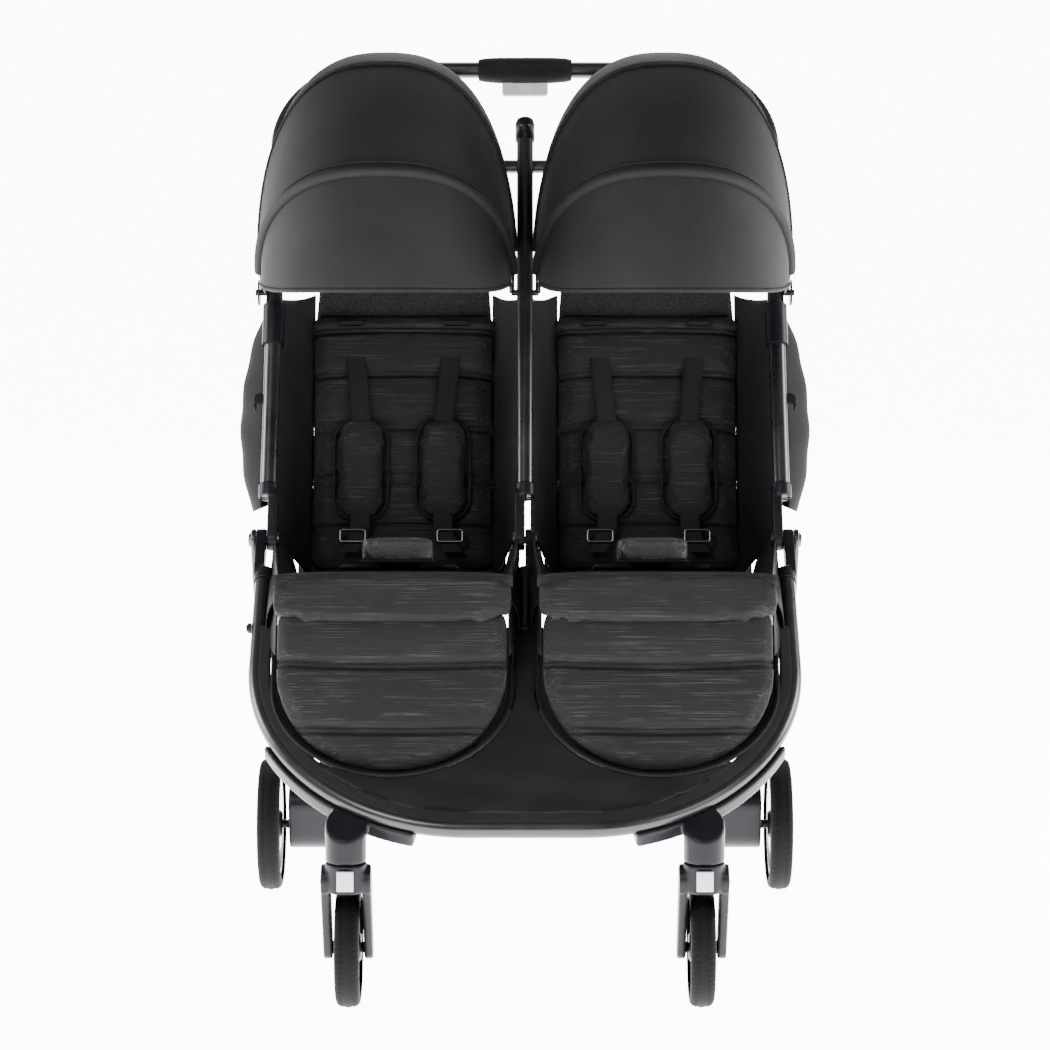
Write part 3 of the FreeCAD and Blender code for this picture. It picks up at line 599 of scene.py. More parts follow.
def pads():
    """The quilted pads of both seats: backrest, seat and calf rest."""
    for part, plane, seams, puff in (("backrest", back, BACK_SEAMS, 0.0035),
                                     ("seat_pad", seat, SEAT_SEAMS, 0.003),
                                     ("calf_pad", calf, CALF_SEAMS, 0.003)):
        pad = copy_node(part + "_right", part + "_cover_right")
        inflate(pad, 0.009 if part == "backrest" else 0.006)
        middle_lift = 0.0 if part == "calf_pad" else -PAD / 2
        press(pad, plane, quilt(seams, seat_x, calf_half, puff=puff), middle_lift)
        twin = mirrored(pad, part + "_cover_left")
        for side, piece in (("right", pad), ("left", twin)):
            body = "front_frame" if part == "seat_pad" else part.replace("pad", "rest") + "_" + side
            dress(piece, PAD_CLOTH, body)
            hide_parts(part + "_" + side)


def shoulder_pads():
    """Long rounded pads on the shoulder straps, with a rim cord, and the straps that pass through them."""
    outer = Vector((1, 0, 0))
    for side, sign in SIDES.items():
        body = "backrest_" + side
        for number, offset in enumerate(STRAP_OFFSETS):
            x = sign * seat_x + offset
            label = f"{side}_{number + 1}"
            pad = soft_block("shoulder_pad_" + label, back, x, 0.0345, 0.077, 0.213, 0.011, 0.021)
            inflate(pad, 0.007, voxel=0.004, shrink=0.0005)
            dress(pad, PAD_CLOTH, body)
            if number == 0:
                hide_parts("shoulder_straps_" + side)
            outline = rim_points(back, x, 0.0355, 0.076, 0.214, 0.016, 0.03, 0.03)
            rim = piping("shoulder_rim_" + label, outline, 0.0019, closed=True)
            dress(rim, BINDING, body)
            lean = -0.012 * (1 if offset > 0 else -1)
            course = ((1.0, 0.330, 0.006), (0.5, 0.27, 0.014), (0.0, 0.20, 0.024), (0.0, 0.14, 0.0275),
                      (0.0, 0.085, 0.0245), (0.2, 0.055, 0.022), (1.2, 0.03, 0.022))
            points = [back.at(x - lean * share, distance, lift) for share, distance, lift in course]
            webbing = strap("shoulder_strap_" + label, smooth_path(points), outer, 0.026)
            dress(webbing, WEBBING, body)
            band = [back.at(x + way * 0.022, 0.172, 0.0295 - 0.008 * abs(way)) for way in (-1, 0, 1)]
            loop = strap("pad_loop_" + label, smooth_path(band), back.along, 0.022)
            dress(loop, BINDING, body)
            frame_line = rim_points(back, x - lean * 0.8, 0.0165, 0.044, 0.060, 0.0245, 0.003, 0.003, 3)
            ring = piping("strap_slider_" + label, frame_line, 0.0018, closed=True)
            dress(ring, STEEL, body)
        slots(side, sign, body)


def smooth_path(points, per_span=6):
    """A smooth line through points."""
    line = []
    count = len(points)
    for index in range(count - 1):
        before = points[max(index - 1, 0)]
        first = points[index]
        second = points[index + 1]
        after = points[min(index + 2, count - 1)]
        for step in range(per_span):
            t = step / per_span
            line.append(0.5 * ((2 * first) + (second - before) * t
                               + (2 * before - 5 * first + 4 * second - after) * t * t
                               + (3 * first - before - 3 * second + after) * t ** 3))
    line.append(points[-1])
    return line


def slots(side, sign, body):
    """Bound slots in the backrest for other strap heights."""
    for row, distance in enumerate((0.268, 0.309, 0.348)):
        for number, offset in enumerate(STRAP_OFFSETS):
            x = sign * seat_x + offset
            outline = rim_points(back, x + math.copysign(0.016, offset), 0.0165, distance - 0.0035,
                                 distance + 0.0035, 0.0075, 0.0034, 0.0034, 4)
            rim = piping(f"strap_slot_{side}_{row + 1}_{number + 1}", outline, 0.0016, closed=True)
            dress(rim, BINDING, body)


def seat_harness():
    """Waist straps, buckle and the soft roll between the legs."""
    for side, sign in SIDES.items():
        x = sign * seat_x
        roll = soft_block("crotch_roll_" + side, seat, x, 0.046, -0.198, -0.158, 0.006, 0.036, cells=18)
        inflate(roll, 0.006, voxel=0.004, shrink=0.0005)
        dress(roll, VINYL, "front_frame")
        if side == "right":
            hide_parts("crotch_pads")
        outline = rim_points(seat, x, 0.047, -0.199, -0.157, 0.022, 0.014, 0.014)
        rim = piping("crotch_rim_" + side, outline, 0.0014, closed=True)
        dress(rim, BINDING, "front_frame")
        for number, way in enumerate((-1, 1)):
            points = [seat.at(x + way * 0.112, -0.243, 0.006), seat.at(x + way * 0.07, -0.235, 0.014),
                      seat.at(x + way * 0.022, -0.222, 0.020)]
            waist = strap(f"waist_webbing_{side}_{number + 1}", smooth_path(points), seat.along, 0.024)
            dress(waist, WEBBING, "front_frame")
            if number == 0:
                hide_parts("waist_strap_" + side)
            spot = seat.at(x + way * 0.062, -0.232, 0.0165)
            glide = rounded_block(f"waist_glide_{side}_{number + 1}", spot, (0.026, 0.030, 0.007), 0.002,
                                  SEAT_ANGLE)
            dress(glide, PLASTIC, "front_frame")
        for name, lift, size, bevel in (("harness_buckle_", 0.021, (0.050, 0.040, 0.013), 0.004),
                                        ("buckle_button_", 0.0285, (0.018, 0.018, 0.004), 0.0015)):
            block = rounded_block(name + side, seat.at(x, -0.219, lift), size, bevel, SEAT_ANGLE)
            dress(block, PLASTIC, "front_frame")


def rounded_block(name, centre, size, bevel, angle):
    """A box with rounded edges, leaned about X by an angle in degrees."""
    piece = cube(name)
    piece.data.transform(Matrix.Diagonal((*size, 1)))
    apply_modifier(piece, "BEVEL", width=bevel, segments=3)
    piece.data.transform(Matrix.Translation(centre) @ Matrix.Rotation(math.radians(angle), 4, "X"))
    take(piece)
    bpy.ops.object.shade_smooth_by_angle(angle=math.radians(50))
    return piece


# ---- hoods ----

HOOD_POWER = 2.5  # a hood's arch is an ellipse of this power: 2 is round, more is squarer
HOOD_START = 0.06  # the arch starts this far out from the pivots
ARCH_STEPS = 72
SEAM_ANGLE = 109.0
BAND_ANGLE = 146.0
VISOR_ANGLE = 173.5
hood_reach = 0.323
hood_outer = high("hood_rear_right").x
hood_inner = low("hood_rear_right").x


def hood_point(sign, share, angle, nest, reach, squeeze=0.0):
    """A point on a hood: share runs over the arch, angle swings the arch about the pivots."""
    outer_x = hood_outer - nest - squeeze
    inner_x = hood_inner + nest
    half = (outer_x - inner_x) / 2
    centre = (outer_x + inner_x) / 2
    first = math.asin(min(1.0, (HOOD_START / reach) ** (HOOD_POWER / 2)))
    at = first + (math.pi - 2 * first) * share
    across = math.copysign(abs(math.cos(at)) ** (2 / HOOD_POWER), math.cos(at)) * half
    radial = reach * math.sin(at) ** (2 / HOOD_POWER)
    turn = math.radians(angle)
    return Vector((sign * centre + across, hood_pivot.y + radial * math.cos(turn),
                   hood_pivot.z + radial * math.sin(turn)))


def rear_reach(angle):
    """How far the rear panel stands off the pivots: full at the seam, less down the back."""
    share = (SEAM_ANGLE - angle) / 39.0
    if share <= 1:
        return hood_reach - 0.068 * share ** 3
    return hood_reach - 0.068 - 0.05 * (share - 1) / 0.55


def hoods():
    """Rear panel, main cloth and visor of both hoods."""
    for side, sign in SIDES.items():
        def rear_place(u, v):
            angle = SEAM_ANGLE + 0.4 - 60 * v
            ease = min(1.0, max(0.0, (SEAM_ANGLE - angle - 20) / 22))
            sag = 0.004 * math.sin(math.pi * min(v * 1.6, 1.0))
            return hood_point(sign, u, angle, 0.001, rear_reach(angle) - sag, squeeze=0.034 * ease)

        rear = sheet("hood_back_cloth_" + side, 64, 36, rear_place, thickness=0.0016)
        dress(rear, HOOD_CLOTH, "upper_frame")
        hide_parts("hood_rear_" + side)
        cloth(rear, (0.66, 0.22), ["upper_cross_tube"])

        def main_place(u, v):
            angle = SEAM_ANGLE + 1 + (BAND_ANGLE - SEAM_ANGLE - 1) * v
            belly = 0.007 * math.sin(math.pi * v) * math.sin(math.pi * u) ** 0.5
            return hood_point(sign, u, angle, 0.0035 - 0.002 * (1 - v) ** 4, hood_reach - 0.003 - belly)

        main = sheet("hood_cloth_" + side, 64, 30, main_place, thickness=0.0016)
        dress(main, HOOD_CLOTH, "hood_" + side)
        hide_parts("hood_main_" + side)
        cloth(main, (0.70, 0.14), ["hood_band_" + side])

        def visor_place(u, v):
            swing = VISOR_ANGLE - BAND_ANGLE
            angle = BAND_ANGLE - 1 + (swing + 1) * v * visor_share(u)
            belly = 0.005 * math.sin(math.pi * v) * math.sin(math.pi * u) ** 0.5
            return hood_point(sign, u, angle, 0.007, hood_reach - 0.0065 - belly)

        visor = sheet("visor_cloth_" + side, 64, 24, visor_place, thickness=0.0016)
        dress(visor, VISOR_CLOTH, "visor_" + side)
        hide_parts("visor_" + side)
        cloth(visor, (0.70, 0.11), ["visor_binding_" + side])
        hood_trim(side, sign)


def visor_share(u):
    """The visor's front edge rounds up towards both ends."""
    return 1 - 0.34 * abs(2 * u - 1) ** 7


def arch(sign, angle, nest, reach):
    return [hood_point(sign, step / ARCH_STEPS, angle, nest, reach) for step in range(ARCH_STEPS + 1)]


def hood_trim(side, sign):
    """Padded band, seams, visor binding and side arms of one hood."""
    band = piping("hood_band_" + side, arch(sign, BAND_ANGLE, 0.004, hood_reach - 0.004), 0.0068, 12)
    dress(band, HOOD_CLOTH, "hood_" + side)
    edge = piping("band_seam_" + side, arch(sign, BAND_ANGLE - 2.2, 0.003, hood_reach - 0.0015), 0.0012)
    dress(edge, BINDING, "hood_" + side)
    edge_points = []
    for step in range(ARCH_STEPS + 1):
        share = step / ARCH_STEPS
        angle = BAND_ANGLE + (VISOR_ANGLE - BAND_ANGLE) * visor_share(share)
        edge_points.append(hood_point(sign, share, angle, 0.0075, hood_reach - 0.0075))
    binding = piping("visor_binding_" + side, edge_points, 0.0032)
    dress(binding, BINDING, "visor_" + side)
    seam = piping("hood_seam_" + side, arch(sign, SEAM_ANGLE, 0.0, hood_reach), 0.0018)
    dress(seam, BINDING, "upper_frame")
    for name, angle, nest in (("band", BAND_ANGLE, 0.0035), ("visor", VISOR_ANGLE - 9, 0.007)):
        body = ("hood_" if name == "band" else "visor_") + side
        reach = Vector((0, math.cos(math.radians(angle)), math.sin(math.radians(angle))))
        for end, x in (("outer", hood_outer - nest - 0.002), ("inner", hood_inner + nest + 0.002)):
            start_point = Vector((sign * x, hood_pivot.y, hood_pivot.z))
            line = [start_point + reach * 0.004, start_point + reach * 0.066]
            arm = piping(f"hood_arm_{name}_{end}_{side}", line, 0.0018)
            dress(arm, PLASTIC, body)


# ---- apron, side walls, basket, net ----

def apron():
    """Cloth over the front tubes, inside the bow, with two bound openings and a snapped tab."""
    piece = copy_node("apron", "apron_cloth")
    apply_modifier(piece, "REMESH", mode="VOXEL", voxel_size=0.0024)
    apply_modifier(piece, "SMOOTH", factor=0.5, iterations=3)
    for vertex in piece.data.vertices:
        distance, lift = front.measure(vertex.co)
        loose = min(1.0, max(0.0, (distance - 0.40) / 0.03))
        ripple = (0.0014 * math.sin(vertex.co.x * 60 + distance * 35)
                  + 0.0010 * math.sin(distance * 110 - vertex.co.x * 22))
        vertex.co += front.normal * ripple * (0.35 + 0.65 * loose)
    smooth(piece)
    dress(piece, SIDE_CLOTH, "front_frame")
    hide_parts("apron")
    cloth(piece, (0.62, 0.20), ["front_bow_tube"], area=0.039)
    top, length = 0.165, 0.490  # the apron's span down the front frame, from the hinges
    corner = 0.260  # radius of the bow's corners
    lift = tube_radius + 0.0036
    opening_half = calf_half + 0.002
    radius = opening_half - 0.003
    centre = 0.4185 - radius
    for side, sign in SIDES.items():
        x = sign * seat_x
        points = [front.at(x - opening_half, top, lift)]
        for step in range(33):
            turn = math.pi * step / 32
            points.append(front.at(x - radius * math.cos(turn), centre + radius * math.sin(turn), lift))
        points.append(front.at(x + opening_half, top, lift))
        binding = piping("apron_binding_" + side, points, 0.0022)
        dress(binding, BINDING, "front_frame")
    for side, sign in SIDES.items():
        x = sign * seat_x

        def well_place(u, v):
            inner = radius - 0.034 * v
            level = lift - 0.002 - 0.024 * v
            straight = centre - top
            run = 2 * straight + math.pi * radius
            at = u * run
            if at < straight:
                return front.at(x - inner, top + at, level)
            if at > run - straight:
                return front.at(x + inner, top + run - at, level)
            turn = (at - straight) / radius
            return front.at(x - inner * math.cos(turn), centre + inner * math.sin(turn), level)

        well = sheet("leg_well_cloth_" + side, 90, 6, well_place, thickness=0.0015)
        dress(well, SIDE_CLOTH, "front_frame")

        def hem_place(u, v):
            offset = -0.017 + 0.017 * u
            level = lift - 0.001 - 0.004 * u
            straight = tube_x - corner
            run = [length - corner - top, corner * math.pi / 2, straight]
            at = v * sum(run)
            if at < run[0]:
                return front.at(sign * (tube_x + offset), top + at, level)
            if at < run[0] + run[1]:
                turn = (at - run[0]) / corner
                reach = corner + offset
                return front.at(sign * (straight + reach * math.cos(turn)),
                                length - corner + reach * math.sin(turn), level)
            return front.at(sign * (sum(run) - at), length + offset, level)

        hem = sheet("apron_hem_" + side, 4, 90, hem_place, thickness=0.0018)
        dress(hem, SIDE_CLOTH, "front_frame")
    snap = turned_about("apron_snap", front.at(0, top + 0.014, lift), front.normal,
                        [(0.0, 0.0), (0.0012, 0.0), (0.0016, 0.004), (0.0008, 0.0065), (0.0, 0.0075)])
    dress(snap, PLASTIC, "front_frame")


def turned_about(name, centre, axis, profile, segments=32):
    """A small round piece about any axis: a profile of (height along the axis, radius)."""
    kept_open = [(height, max(radius, 0.00001)) for height, radius in profile]
    piece = turned(name, Vector((0, 0, 0)), kept_open, segments)
    turn = Vector((1, 0, 0)).rotation_difference(axis).to_matrix().to_4x4()
    piece.data.transform(Matrix.Translation(centre) @ turn)
    return piece


def wings():
    """Cloth side walls: from the backrest's edge out round behind the side tube."""
    for side, sign in SIDES.items():
        def place(u, v):
            distance = 0.050 + 0.285 * v
            inner = back_edge(distance, sign * (seat_x + back_half + 0.006))
            tube_side = upper.at(sign * (tube_x + tube_radius - 0.002), distance, -tube_radius + 0.003)
            swell = math.sin(math.pi * min(1.0, 0.04 + v * 0.98)) ** 0.6
            belly = upper.at(sign * (tube_x + 0.030 + 0.062 * swell), distance, -0.050 - 0.020 * swell)
            spot = inner.lerp(belly, u).lerp(belly.lerp(tube_side, u), u)
            fold = 0.0010 * math.sin(distance * 95 + u * 7) * math.sin(math.pi * u)
            return spot + Vector((sign * fold, 0, 0))

        wall = sheet("side_wall_cloth_" + side, 30, 44, place, thickness=0.0018)
        dress(wall, SIDE_CLOTH, "upper_frame")
        cloth(wall, (0.15, 0.29), ["upper_side_tube_" + side])
        if side == "left":
            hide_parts("side_walls")
        course = ((0.012, 0.205, -0.006), (0.022, 0.200, -0.004), (0.020, 0.190, -0.006))
        band = [upper.at(sign * (tube_x + out), distance, lift) for out, distance, lift in course]
        loop = strap("wall_loop_" + side, smooth_path(band), upper.along, 0.014)
        dress(loop, BINDING, "upper_frame")


def gussets():
    """Cloth between the tubes and the seats: down both sides and down the middle."""
    for side, sign in SIDES.items():
        spans = {"seat": ("_side_tube_" + side, tube_x - tube_radius + 0.002, 1),
                 "centre": ("_centre_tube", tube_radius - 0.002, -1)}
        for label, (tube_name, tube_edge, way) in spans.items():
            back_x = seat_x + way * (back_half - 0.010)
            calf_x = seat_x + way * (calf_half - 0.006)

            def upper_place(u, v):
                distance = 0.012 + 0.335 * v
                outer = upper.at(sign * tube_edge, distance, -0.002)
                inner = back_edge(distance, sign * back_x) - back.along * 0.088 * (1 - v) ** 3
                spot = outer.lerp(inner, u)
                dip = 0.007 * math.sin(math.pi * u)
                wrinkle = 0.0010 * math.sin(v * 30 + u * 7) * math.sin(math.pi * u)
                return spot - upper.normal * dip + Vector((sign * wrinkle, 0, 0))

            wall = sheet(f"{label}_wall_cloth_{side}", 24, 40, upper_place, thickness=0.0015)
            dress(wall, SIDE_CLOTH, "upper_frame")
            cloth(wall, (0.12, 0.31), ["upper" + tube_name])

            def side_place(u, v):
                if v < 0.5:
                    outer = front.at(sign * tube_edge, 0.17 * (1 - 2 * v), 0.0)
                else:
                    outer = upper.at(sign * tube_edge, 0.16 * (2 * v - 1), 0.0)
                inner = seat.at(sign * (calf_x - way * 0.012), -0.290 * v - 0.004, -0.010)
                bow = 0.010 * math.sin(math.pi * u)
                return outer.lerp(inner, u) + Vector((sign * way * bow, 0, 0))

            flank = sheet(f"{label}_side_cloth_{side}", 12, 40, side_place, thickness=0.0015)
            dress(flank, SIDE_CLOTH, "front_frame")
            cloth(flank, (0.075, 0.30), ["front" + tube_name])
            seat.at(0, -0.15, 0.0)
            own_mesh(flank)

            def lower_place(u, v):
                distance = 0.19 * v - 0.02
                outer = front.at(sign * tube_edge, distance, 0.0)
                inner = calf_edge(distance, sign * calf_x)
                dip = 0.006 * math.sin(math.pi * u)
                return outer.lerp(inner, u) - front.normal * dip

            strip = sheet(f"{label}_strip_cloth_{side}", 10, 30, lower_place, thickness=0.0015)
            dress(strip, SIDE_CLOTH, "front_frame")
            cloth(strip, (0.070, 0.19), ["front" + tube_name])


def calf_edge(distance, x):
    """The calf pad's back edge beside a distance down the front frame."""
    spot = front.at(x, distance)
    share = (spot.z - calf.origin.z) / calf.along.z
    return calf.at(x, max(share, -0.02), -0.012)


def knees():
    """Padded roll over each seat's front edge, round the calf pad's bar, and cloth behind the seat."""
    for side, sign in SIDES.items():
        def roll_place(u, v):
            x = sign * seat_x + (calf_half - 0.001) * (2 * u - 1)
            turn = math.radians(SEAT_ANGLE - 90 + (CALF_ANGLE - SEAT_ANGLE + 34) * v - 14)
            radius = 0.0165 - 0.004 * abs(2 * u - 1) ** 6
            return Vector((x, calf_bar.y + radius * math.cos(turn), calf_bar.z + radius * math.sin(turn)))

        roll = sheet("knee_roll_" + side, 40, 20, roll_place, thickness=0.004, offset=0.0)
        dress(roll, PAD_CLOTH, "front_frame")

        top = soft_block("calf_top_" + side, calf, sign * seat_x, calf_half - 0.001, -0.013, 0.054, -0.006,
                         0.0105, cells=30)
        inflate(top, 0.004, voxel=0.004, shrink=0.0005)
        dress(top, PAD_CLOTH, "calf_rest_" + side)

        def join_place(u, v):
            x = sign * seat_x + back_half * 1.06 * (2 * u - 1)
            low_point = seat.at(x, -0.275, -0.004)
            high_point = back.at(x, 0.040, -0.014)
            middle_point = Vector((x, high_point.y + 0.004, low_point.z - 0.006))
            return low_point.lerp(middle_point, v).lerp(middle_point.lerp(high_point, v), v)

        join = sheet("seat_join_cloth_" + side, 24, 16, join_place, thickness=0.0015)
        dress(join, SIDE_CLOTH, "front_frame")
        cloth(join, (0.29, 0.09), ["seat_pad_cover_" + side])
        seat.at(0, -0.28, 0.0)
        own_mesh(join)


def back_edge(distance, x):
    """The backrest's back edge beside a distance up the side tube."""
    spot = upper.at(x, distance, 0)
    share = (spot.z - back.origin.z) / back.along.z
    return back.at(x, max(share, 0.01), -PAD * 0.5)


def basket():
    """A hanging cloth tray: sagging floor, bellied sides and a bound rim."""
    start = low("basket") + Vector((0.004, 0.004, 0.004))
    end = high("basket") - Vector((0.004, 0.004, 0.004))
    centre = (start + end) / 2
    size = end - start

    def place(u, v):
        turn = 2 * math.pi * u
        square = 0.24
        cx = math.copysign(abs(math.cos(turn)) ** square, math.cos(turn))
        cy = math.copysign(abs(math.sin(turn)) ** square, math.sin(turn))
        if v < 0.5:
            depth = v * 2
            shrink = 1 - 0.10 * depth ** 2
            rise = end.z - size.z * 0.86 * depth
            rise -= 0.010 * (1 - depth) * math.sin(2 * turn) ** 2
        else:
            depth = (v - 0.5) * 2
            shrink = 0.90 * (1 - depth)
            rise = start.z + size.z * 0.14 * (1 - depth) ** 2
        return Vector((centre.x + cx * size.x / 2 * shrink, centre.y + cy * size.y / 2 * shrink, rise))

    tray = sheet("basket_cloth", 96, 40, place)
    tidy(tray, 0.0004)
    apply_modifier(tray, "SOLIDIFY", thickness=0.002, offset=-1)
    dress(tray, SIDE_CLOTH, "front_frame")
    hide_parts("basket")
    cloth(tray, (0.70, 0.52), ["front_side_tube_left", "front_side_tube_right"], "hung")
    rim = piping("basket_rim", [place(step / 96, 0.0) for step in range(96)], 0.0035, closed=True)
    dress(rim, BINDING, "front_frame")


def nets():
    """Knitted net above each backrest, under the hood."""
    for side, sign in SIDES.items():
        x = sign * seat_x
        start = 0.362
        end = 0.52

        def place(u, v):
            half = (back_half - 0.012) * (1 - 0.10 * v)
            sag = 0.006 * math.sin(math.pi * u) * math.sin(math.pi * v)
            return back.at(x + half * (2 * u - 1), start + (end - start) * v, -0.016 - sag)

        net = sheet("back_net_" + side, 24, 20, place, thickness=0.002)
        dress(net, NET, "upper_frame")
        cloth(net, (0.24, 0.16), ["backrest_" + side])
        if side == "right":
            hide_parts("back_meshes")


# ---- wheels and mouldings ----

def wheel(kind, side, body):
    """One wheel: ribbed tyre, stepped rim, hub, spokes and axle cap."""
    tyre = kind + "_tyre_" + side
    rim = kind + "_rim_" + side
    centre = middle(tyre)
    outer = (high(tyre).z - low(tyre).z) / 2
    half = (high(tyre).x - low(tyre).x) / 2
    seat_radius = (high(rim).z - low(rim).z) / 2
    shoulder = outer - seat_radius
    profile = []
    for step in range(25):
        turn = math.pi * step / 24
        across = -math.cos(turn)
        rise = seat_radius + 0.001 + (shoulder - 0.001) * math.sin(turn) ** 0.62
        profile.append((half * math.copysign(abs(across) ** 0.8, across), rise))

    def tread(turn, offset, radius):
        share = abs(offset) / half
        if radius < outer - shoulder * 0.35:
            return 0.0
        line = -0.0011 if abs(share - 0.33) < 0.07 else 0.0
        sipe = -0.0008 if math.sin(turn * 60 + offset * 260) > 0.72 and share > 0.45 else 0.0
        return min(line, sipe)

    rubber = turned(f"{kind}_tread_{side}", centre, profile, 240, tread)
    dress(rubber, TYRE, body)
    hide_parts(tyre)
    face = half - 0.004
    steps = ((-face, 0.0), (-face, 0.007), (-face + 0.003, 0.009), (-0.006, 0.011), (0.006, 0.011),
             (face - 0.003, 0.009), (face, 0.007), (face, 0.0), (0.0, 0.001), (-face, 0.0))
    ring = [(offset, seat_radius - drop) for offset, drop in steps]
    band = turned(f"{kind}_wheel_band_{side}", centre, ring, 96)
    dress(band, SILVER if kind == "rear" else RIM_GREY, body)
    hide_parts(rim)
    hub_radius = 0.018
    hub = [(-half, 0.0062), (-half, hub_radius - 0.003), (-half + 0.003, hub_radius),
           (half - 0.003, hub_radius), (half, hub_radius - 0.003), (half, 0.0062), (-half, 0.0062)]
    boss = turned(f"{kind}_wheel_hub_{side}", centre, hub, 48)
    dress(boss, RIM_GREY, body)
    for number in range(6):
        turn = 2 * math.pi * number / 6
        spoke = spoke_piece(f"{kind}_spoke_{side}_{number + 1}", hub_radius - 0.002, seat_radius - 0.009,
                            half * 0.55)
        spoke.data.transform(Matrix.Translation(centre) @ Matrix.Rotation(turn, 4, "X"))
        dress(spoke, RIM_GREY, body)
    outward = Vector((SIDES[side], 0, 0))
    cap = turned_about(f"{kind}_axle_cap_{side}", centre + outward * half, outward,
                       [(-0.001, 0.0), (-0.001, 0.009), (0.001, 0.0095), (0.0028, 0.007), (0.003, 0.0)])
    dress(cap, PLASTIC, body)


def spoke_piece(name, start, end, half_width):
    """One tapered spoke along +Z, with rounded edges."""
    piece = cube(name)
    for vertex in piece.data.vertices:
        outward = vertex.co.z > 0
        width = 0.010 if outward else 0.007
        depth = half_width * (0.8 if outward else 1.0)
        vertex.co = Vector((vertex.co.x * 2 * depth, vertex.co.y * 2 * width, end if outward else start))
    apply_modifier(piece, "BEVEL", width=0.0015, segments=2)
    take(piece)
    bpy.ops.object.shade_smooth_by_angle(angle=math.radians(45))
    return piece


def wheels():
    for side in SIDES:
        wheel("front", side, "front_wheel_" + side)
        wheel("rear", side, "rear_wheel_" + side)


def mouldings():
    """The moulded parts, remeshed from the CAD nodes."""
    for side in SIDES:
        soften("corner_bracket_" + side, "bow_saddle_" + side, 0.0018, 12, PLASTIC, "front_frame")
        soften("caster_fork_" + side, "caster_head_" + side, 0.0016, 7, PLASTIC, "caster_" + side)
        soften("axle_housing_" + side, "rear_housing_" + side, 0.0018, 8, PLASTIC, "rear_legs")
        soften("rear_leg_" + side, "rear_leg_bar_" + side, 0.0018, 5, TUBE, "rear_legs")
        soften("caster_lock_" + side, "caster_tab_" + side, 0.0006, 4, BUTTON, "caster_lock_" + side)
    soften("lower_hinges", "hinge_covers_lower", 0.0014, 5, PLASTIC, "front_frame")
    soften("upper_hinges", "hinge_covers_upper", 0.0014, 5, PLASTIC, "upper_frame")
    soften("fold_trigger", "trigger_lever", 0.0009, 5, BUTTON, "fold_trigger")
    soften("brake_pedal", "brake_lever", 0.0016, 6, PLASTIC, "brake_pedal")


def grip():
    """The soft moulded grip: fuller below, with fine ribs and ends that narrow."""
    centre = middle("handle_grip")
    half = high("handle_grip").x
    radius = (high("handle_grip").z - low("handle_grip").z) / 2

    def place(u, v):
        turn = 2 * math.pi * u
        along = (2 * v - 1)
        body = radius * (1 - 0.16 * abs(along) ** 6)
        bulge = 1 + 0.10 * max(0.0, -math.sin(turn)) * (1 - along ** 2)
        rib = -0.0006 if abs(along) < 0.8 and math.sin(along * 150) > 0.6 and math.sin(turn) < 0.3 else 0.0
        skin = body * bulge + rib
        return centre + Vector((along * half, skin * math.cos(turn), skin * math.sin(turn)))

    piece = sheet("grip_sleeve", 64, 120, place)
    tidy(piece)
    dress(piece, GRIP, "upper_frame")
    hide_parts("handle_grip")


def screw_heads():
    """Small fasteners on the hinge pins and caster forks."""
    for side, sign in SIDES.items():
        outward = Vector((sign, 0, 0))
        fork_spot = middle("caster_fork_" + side) + Vector((sign * 0.030, -0.014, 0.030))
        hinge_spot = Vector((sign * high("hinge_pins").x, hinge.y, hinge.z))
        for name, spot, body, size in (("fork_screw", fork_spot, "caster_" + side, 0.0042),
                                       ("hinge_cap", hinge_spot, "front_frame", 0.0075)):
            cap = turned_about(f"{name}_{side}", spot, outward,
                               [(-0.001, 0.0), (-0.001, size), (0.0004, size), (0.0013, size * 0.7),
                                (0.0014, size * 0.4), (0.0006, size * 0.3), (0.0006, 0.0)], 24)
            dress(cap, STEEL, body)


def post_cap():
    """The moulded cap on the middle post, with two small screws."""
    top = upper.at(0, (high("upper_centre_tube").z - hinge.z) / upper.along.z - 0.004)
    cap = turned_about("post_cap", top, upper.along, [(-0.022, 0.0), (-0.022, 0.0128), (0.004, 0.0128),
                                                      (0.009, 0.0110), (0.011, 0.0070), (0.0115, 0.0)])
    dress(cap, PLASTIC, "upper_frame")
    for number, sign in enumerate((-1, 1)):
        spot = top + Vector((sign * 0.005, -0.0125, 0.002))
        screw = turned_about(f"post_screw_{number + 1}", spot, Vector((0, -1, 0)),
                             [(-0.002, 0.0), (-0.002, 0.0022), (0.0006, 0.0018), (0.0008, 0.0)], 16)
        dress(screw, STEEL, "upper_frame")


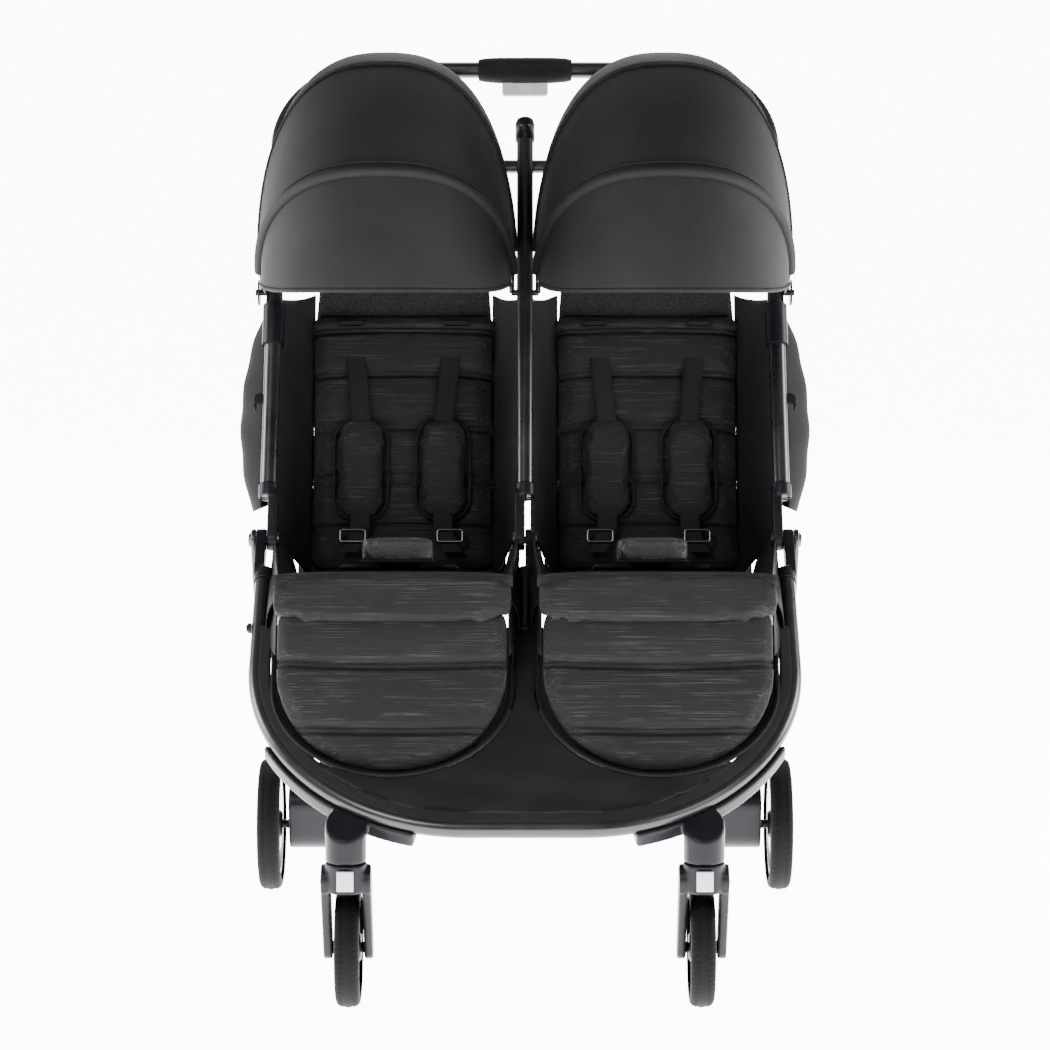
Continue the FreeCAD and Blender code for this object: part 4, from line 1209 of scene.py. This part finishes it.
def keep_nodes():
    """CAD nodes that stay, with their finishes."""
    finishes = {"hinge_pins": STEEL, "rear_axle": STEEL, "latch_stud": PLASTIC, "hood_brackets": PLASTIC,
                "hood_hub_left": PLASTIC, "hood_hub_right": PLASTIC}
    for name, node in frame["nodes"].items():
        material = finishes.get(name, TUBE)
        for index in range(max(1, len(node.data.materials))):
            if index < len(node.data.materials):
                node.data.materials[index] = material
            else:
                node.data.materials.append(material)


# ---- stage ----

def studio():
    """White sweep, dim sky and soft boxes."""
    world = bpy.data.worlds.new("studio")
    bpy.context.scene.world = world
    world.use_nodes = True
    world.node_tree.nodes["Background"].inputs[0].default_value = (1, 1, 1, 1)
    world.node_tree.nodes["Background"].inputs[1].default_value = 0.35
    for name, place, size, power in (("key_light", (-1.5, -3.0, 3.2), 1.4, 150),
                                     ("fill_light", (2.2, -2.6, 1.8), 1.6, 60),
                                     ("left_strip", (-2.4, 0.4, 1.3), 1.0, 90),
                                     ("right_strip", (2.4, 0.4, 1.4), 1.0, 90),
                                     ("back_light", (0.0, 2.6, 2.6), 1.8, 110)):
        deselect()
        bpy.ops.object.light_add(type="AREA", location=place)
        light = bpy.context.object
        light.name = name
        light.data.size = size
        light.data.energy = power
        light.rotation_euler = (Vector((0, 0, 0.65)) - Vector(place)).to_track_quat("-Z", "Y").to_euler()
    deselect()
    bpy.ops.mesh.primitive_plane_add(size=400, location=(0, 0, 0))
    floor = bpy.context.object
    floor.name = "studio_floor"
    paper = Finish("white_paper", 0.9, Emission_Color=(1, 1, 1, 1), Emission_Strength=11.0)
    spread = paper.noise(paper.coordinates(), 3.0, 3.0)
    paper.colour(spread, (0.88, 0.88, 0.88), (0.92, 0.92, 0.92))
    floor.data.materials.append(paper.material)


def camera():
    deselect()
    bpy.ops.object.camera_add(location=(0, hinge.y - 4.60, 1.30))
    view = bpy.context.object
    view.rotation_euler = (math.radians(90 - 9.5), 0, 0)
    view.data.sensor_width = 36
    view.data.lens = 125.14
    view.data.clip_end = 100
    bpy.context.scene.camera = view


keep_nodes()
pads()
shoulder_pads()
seat_harness()
hoods()
apron()
wings()
gussets()
knees()
basket()
nets()
wheels()
mouldings()
grip()
post_cap()
screw_heads()
studio()
camera()
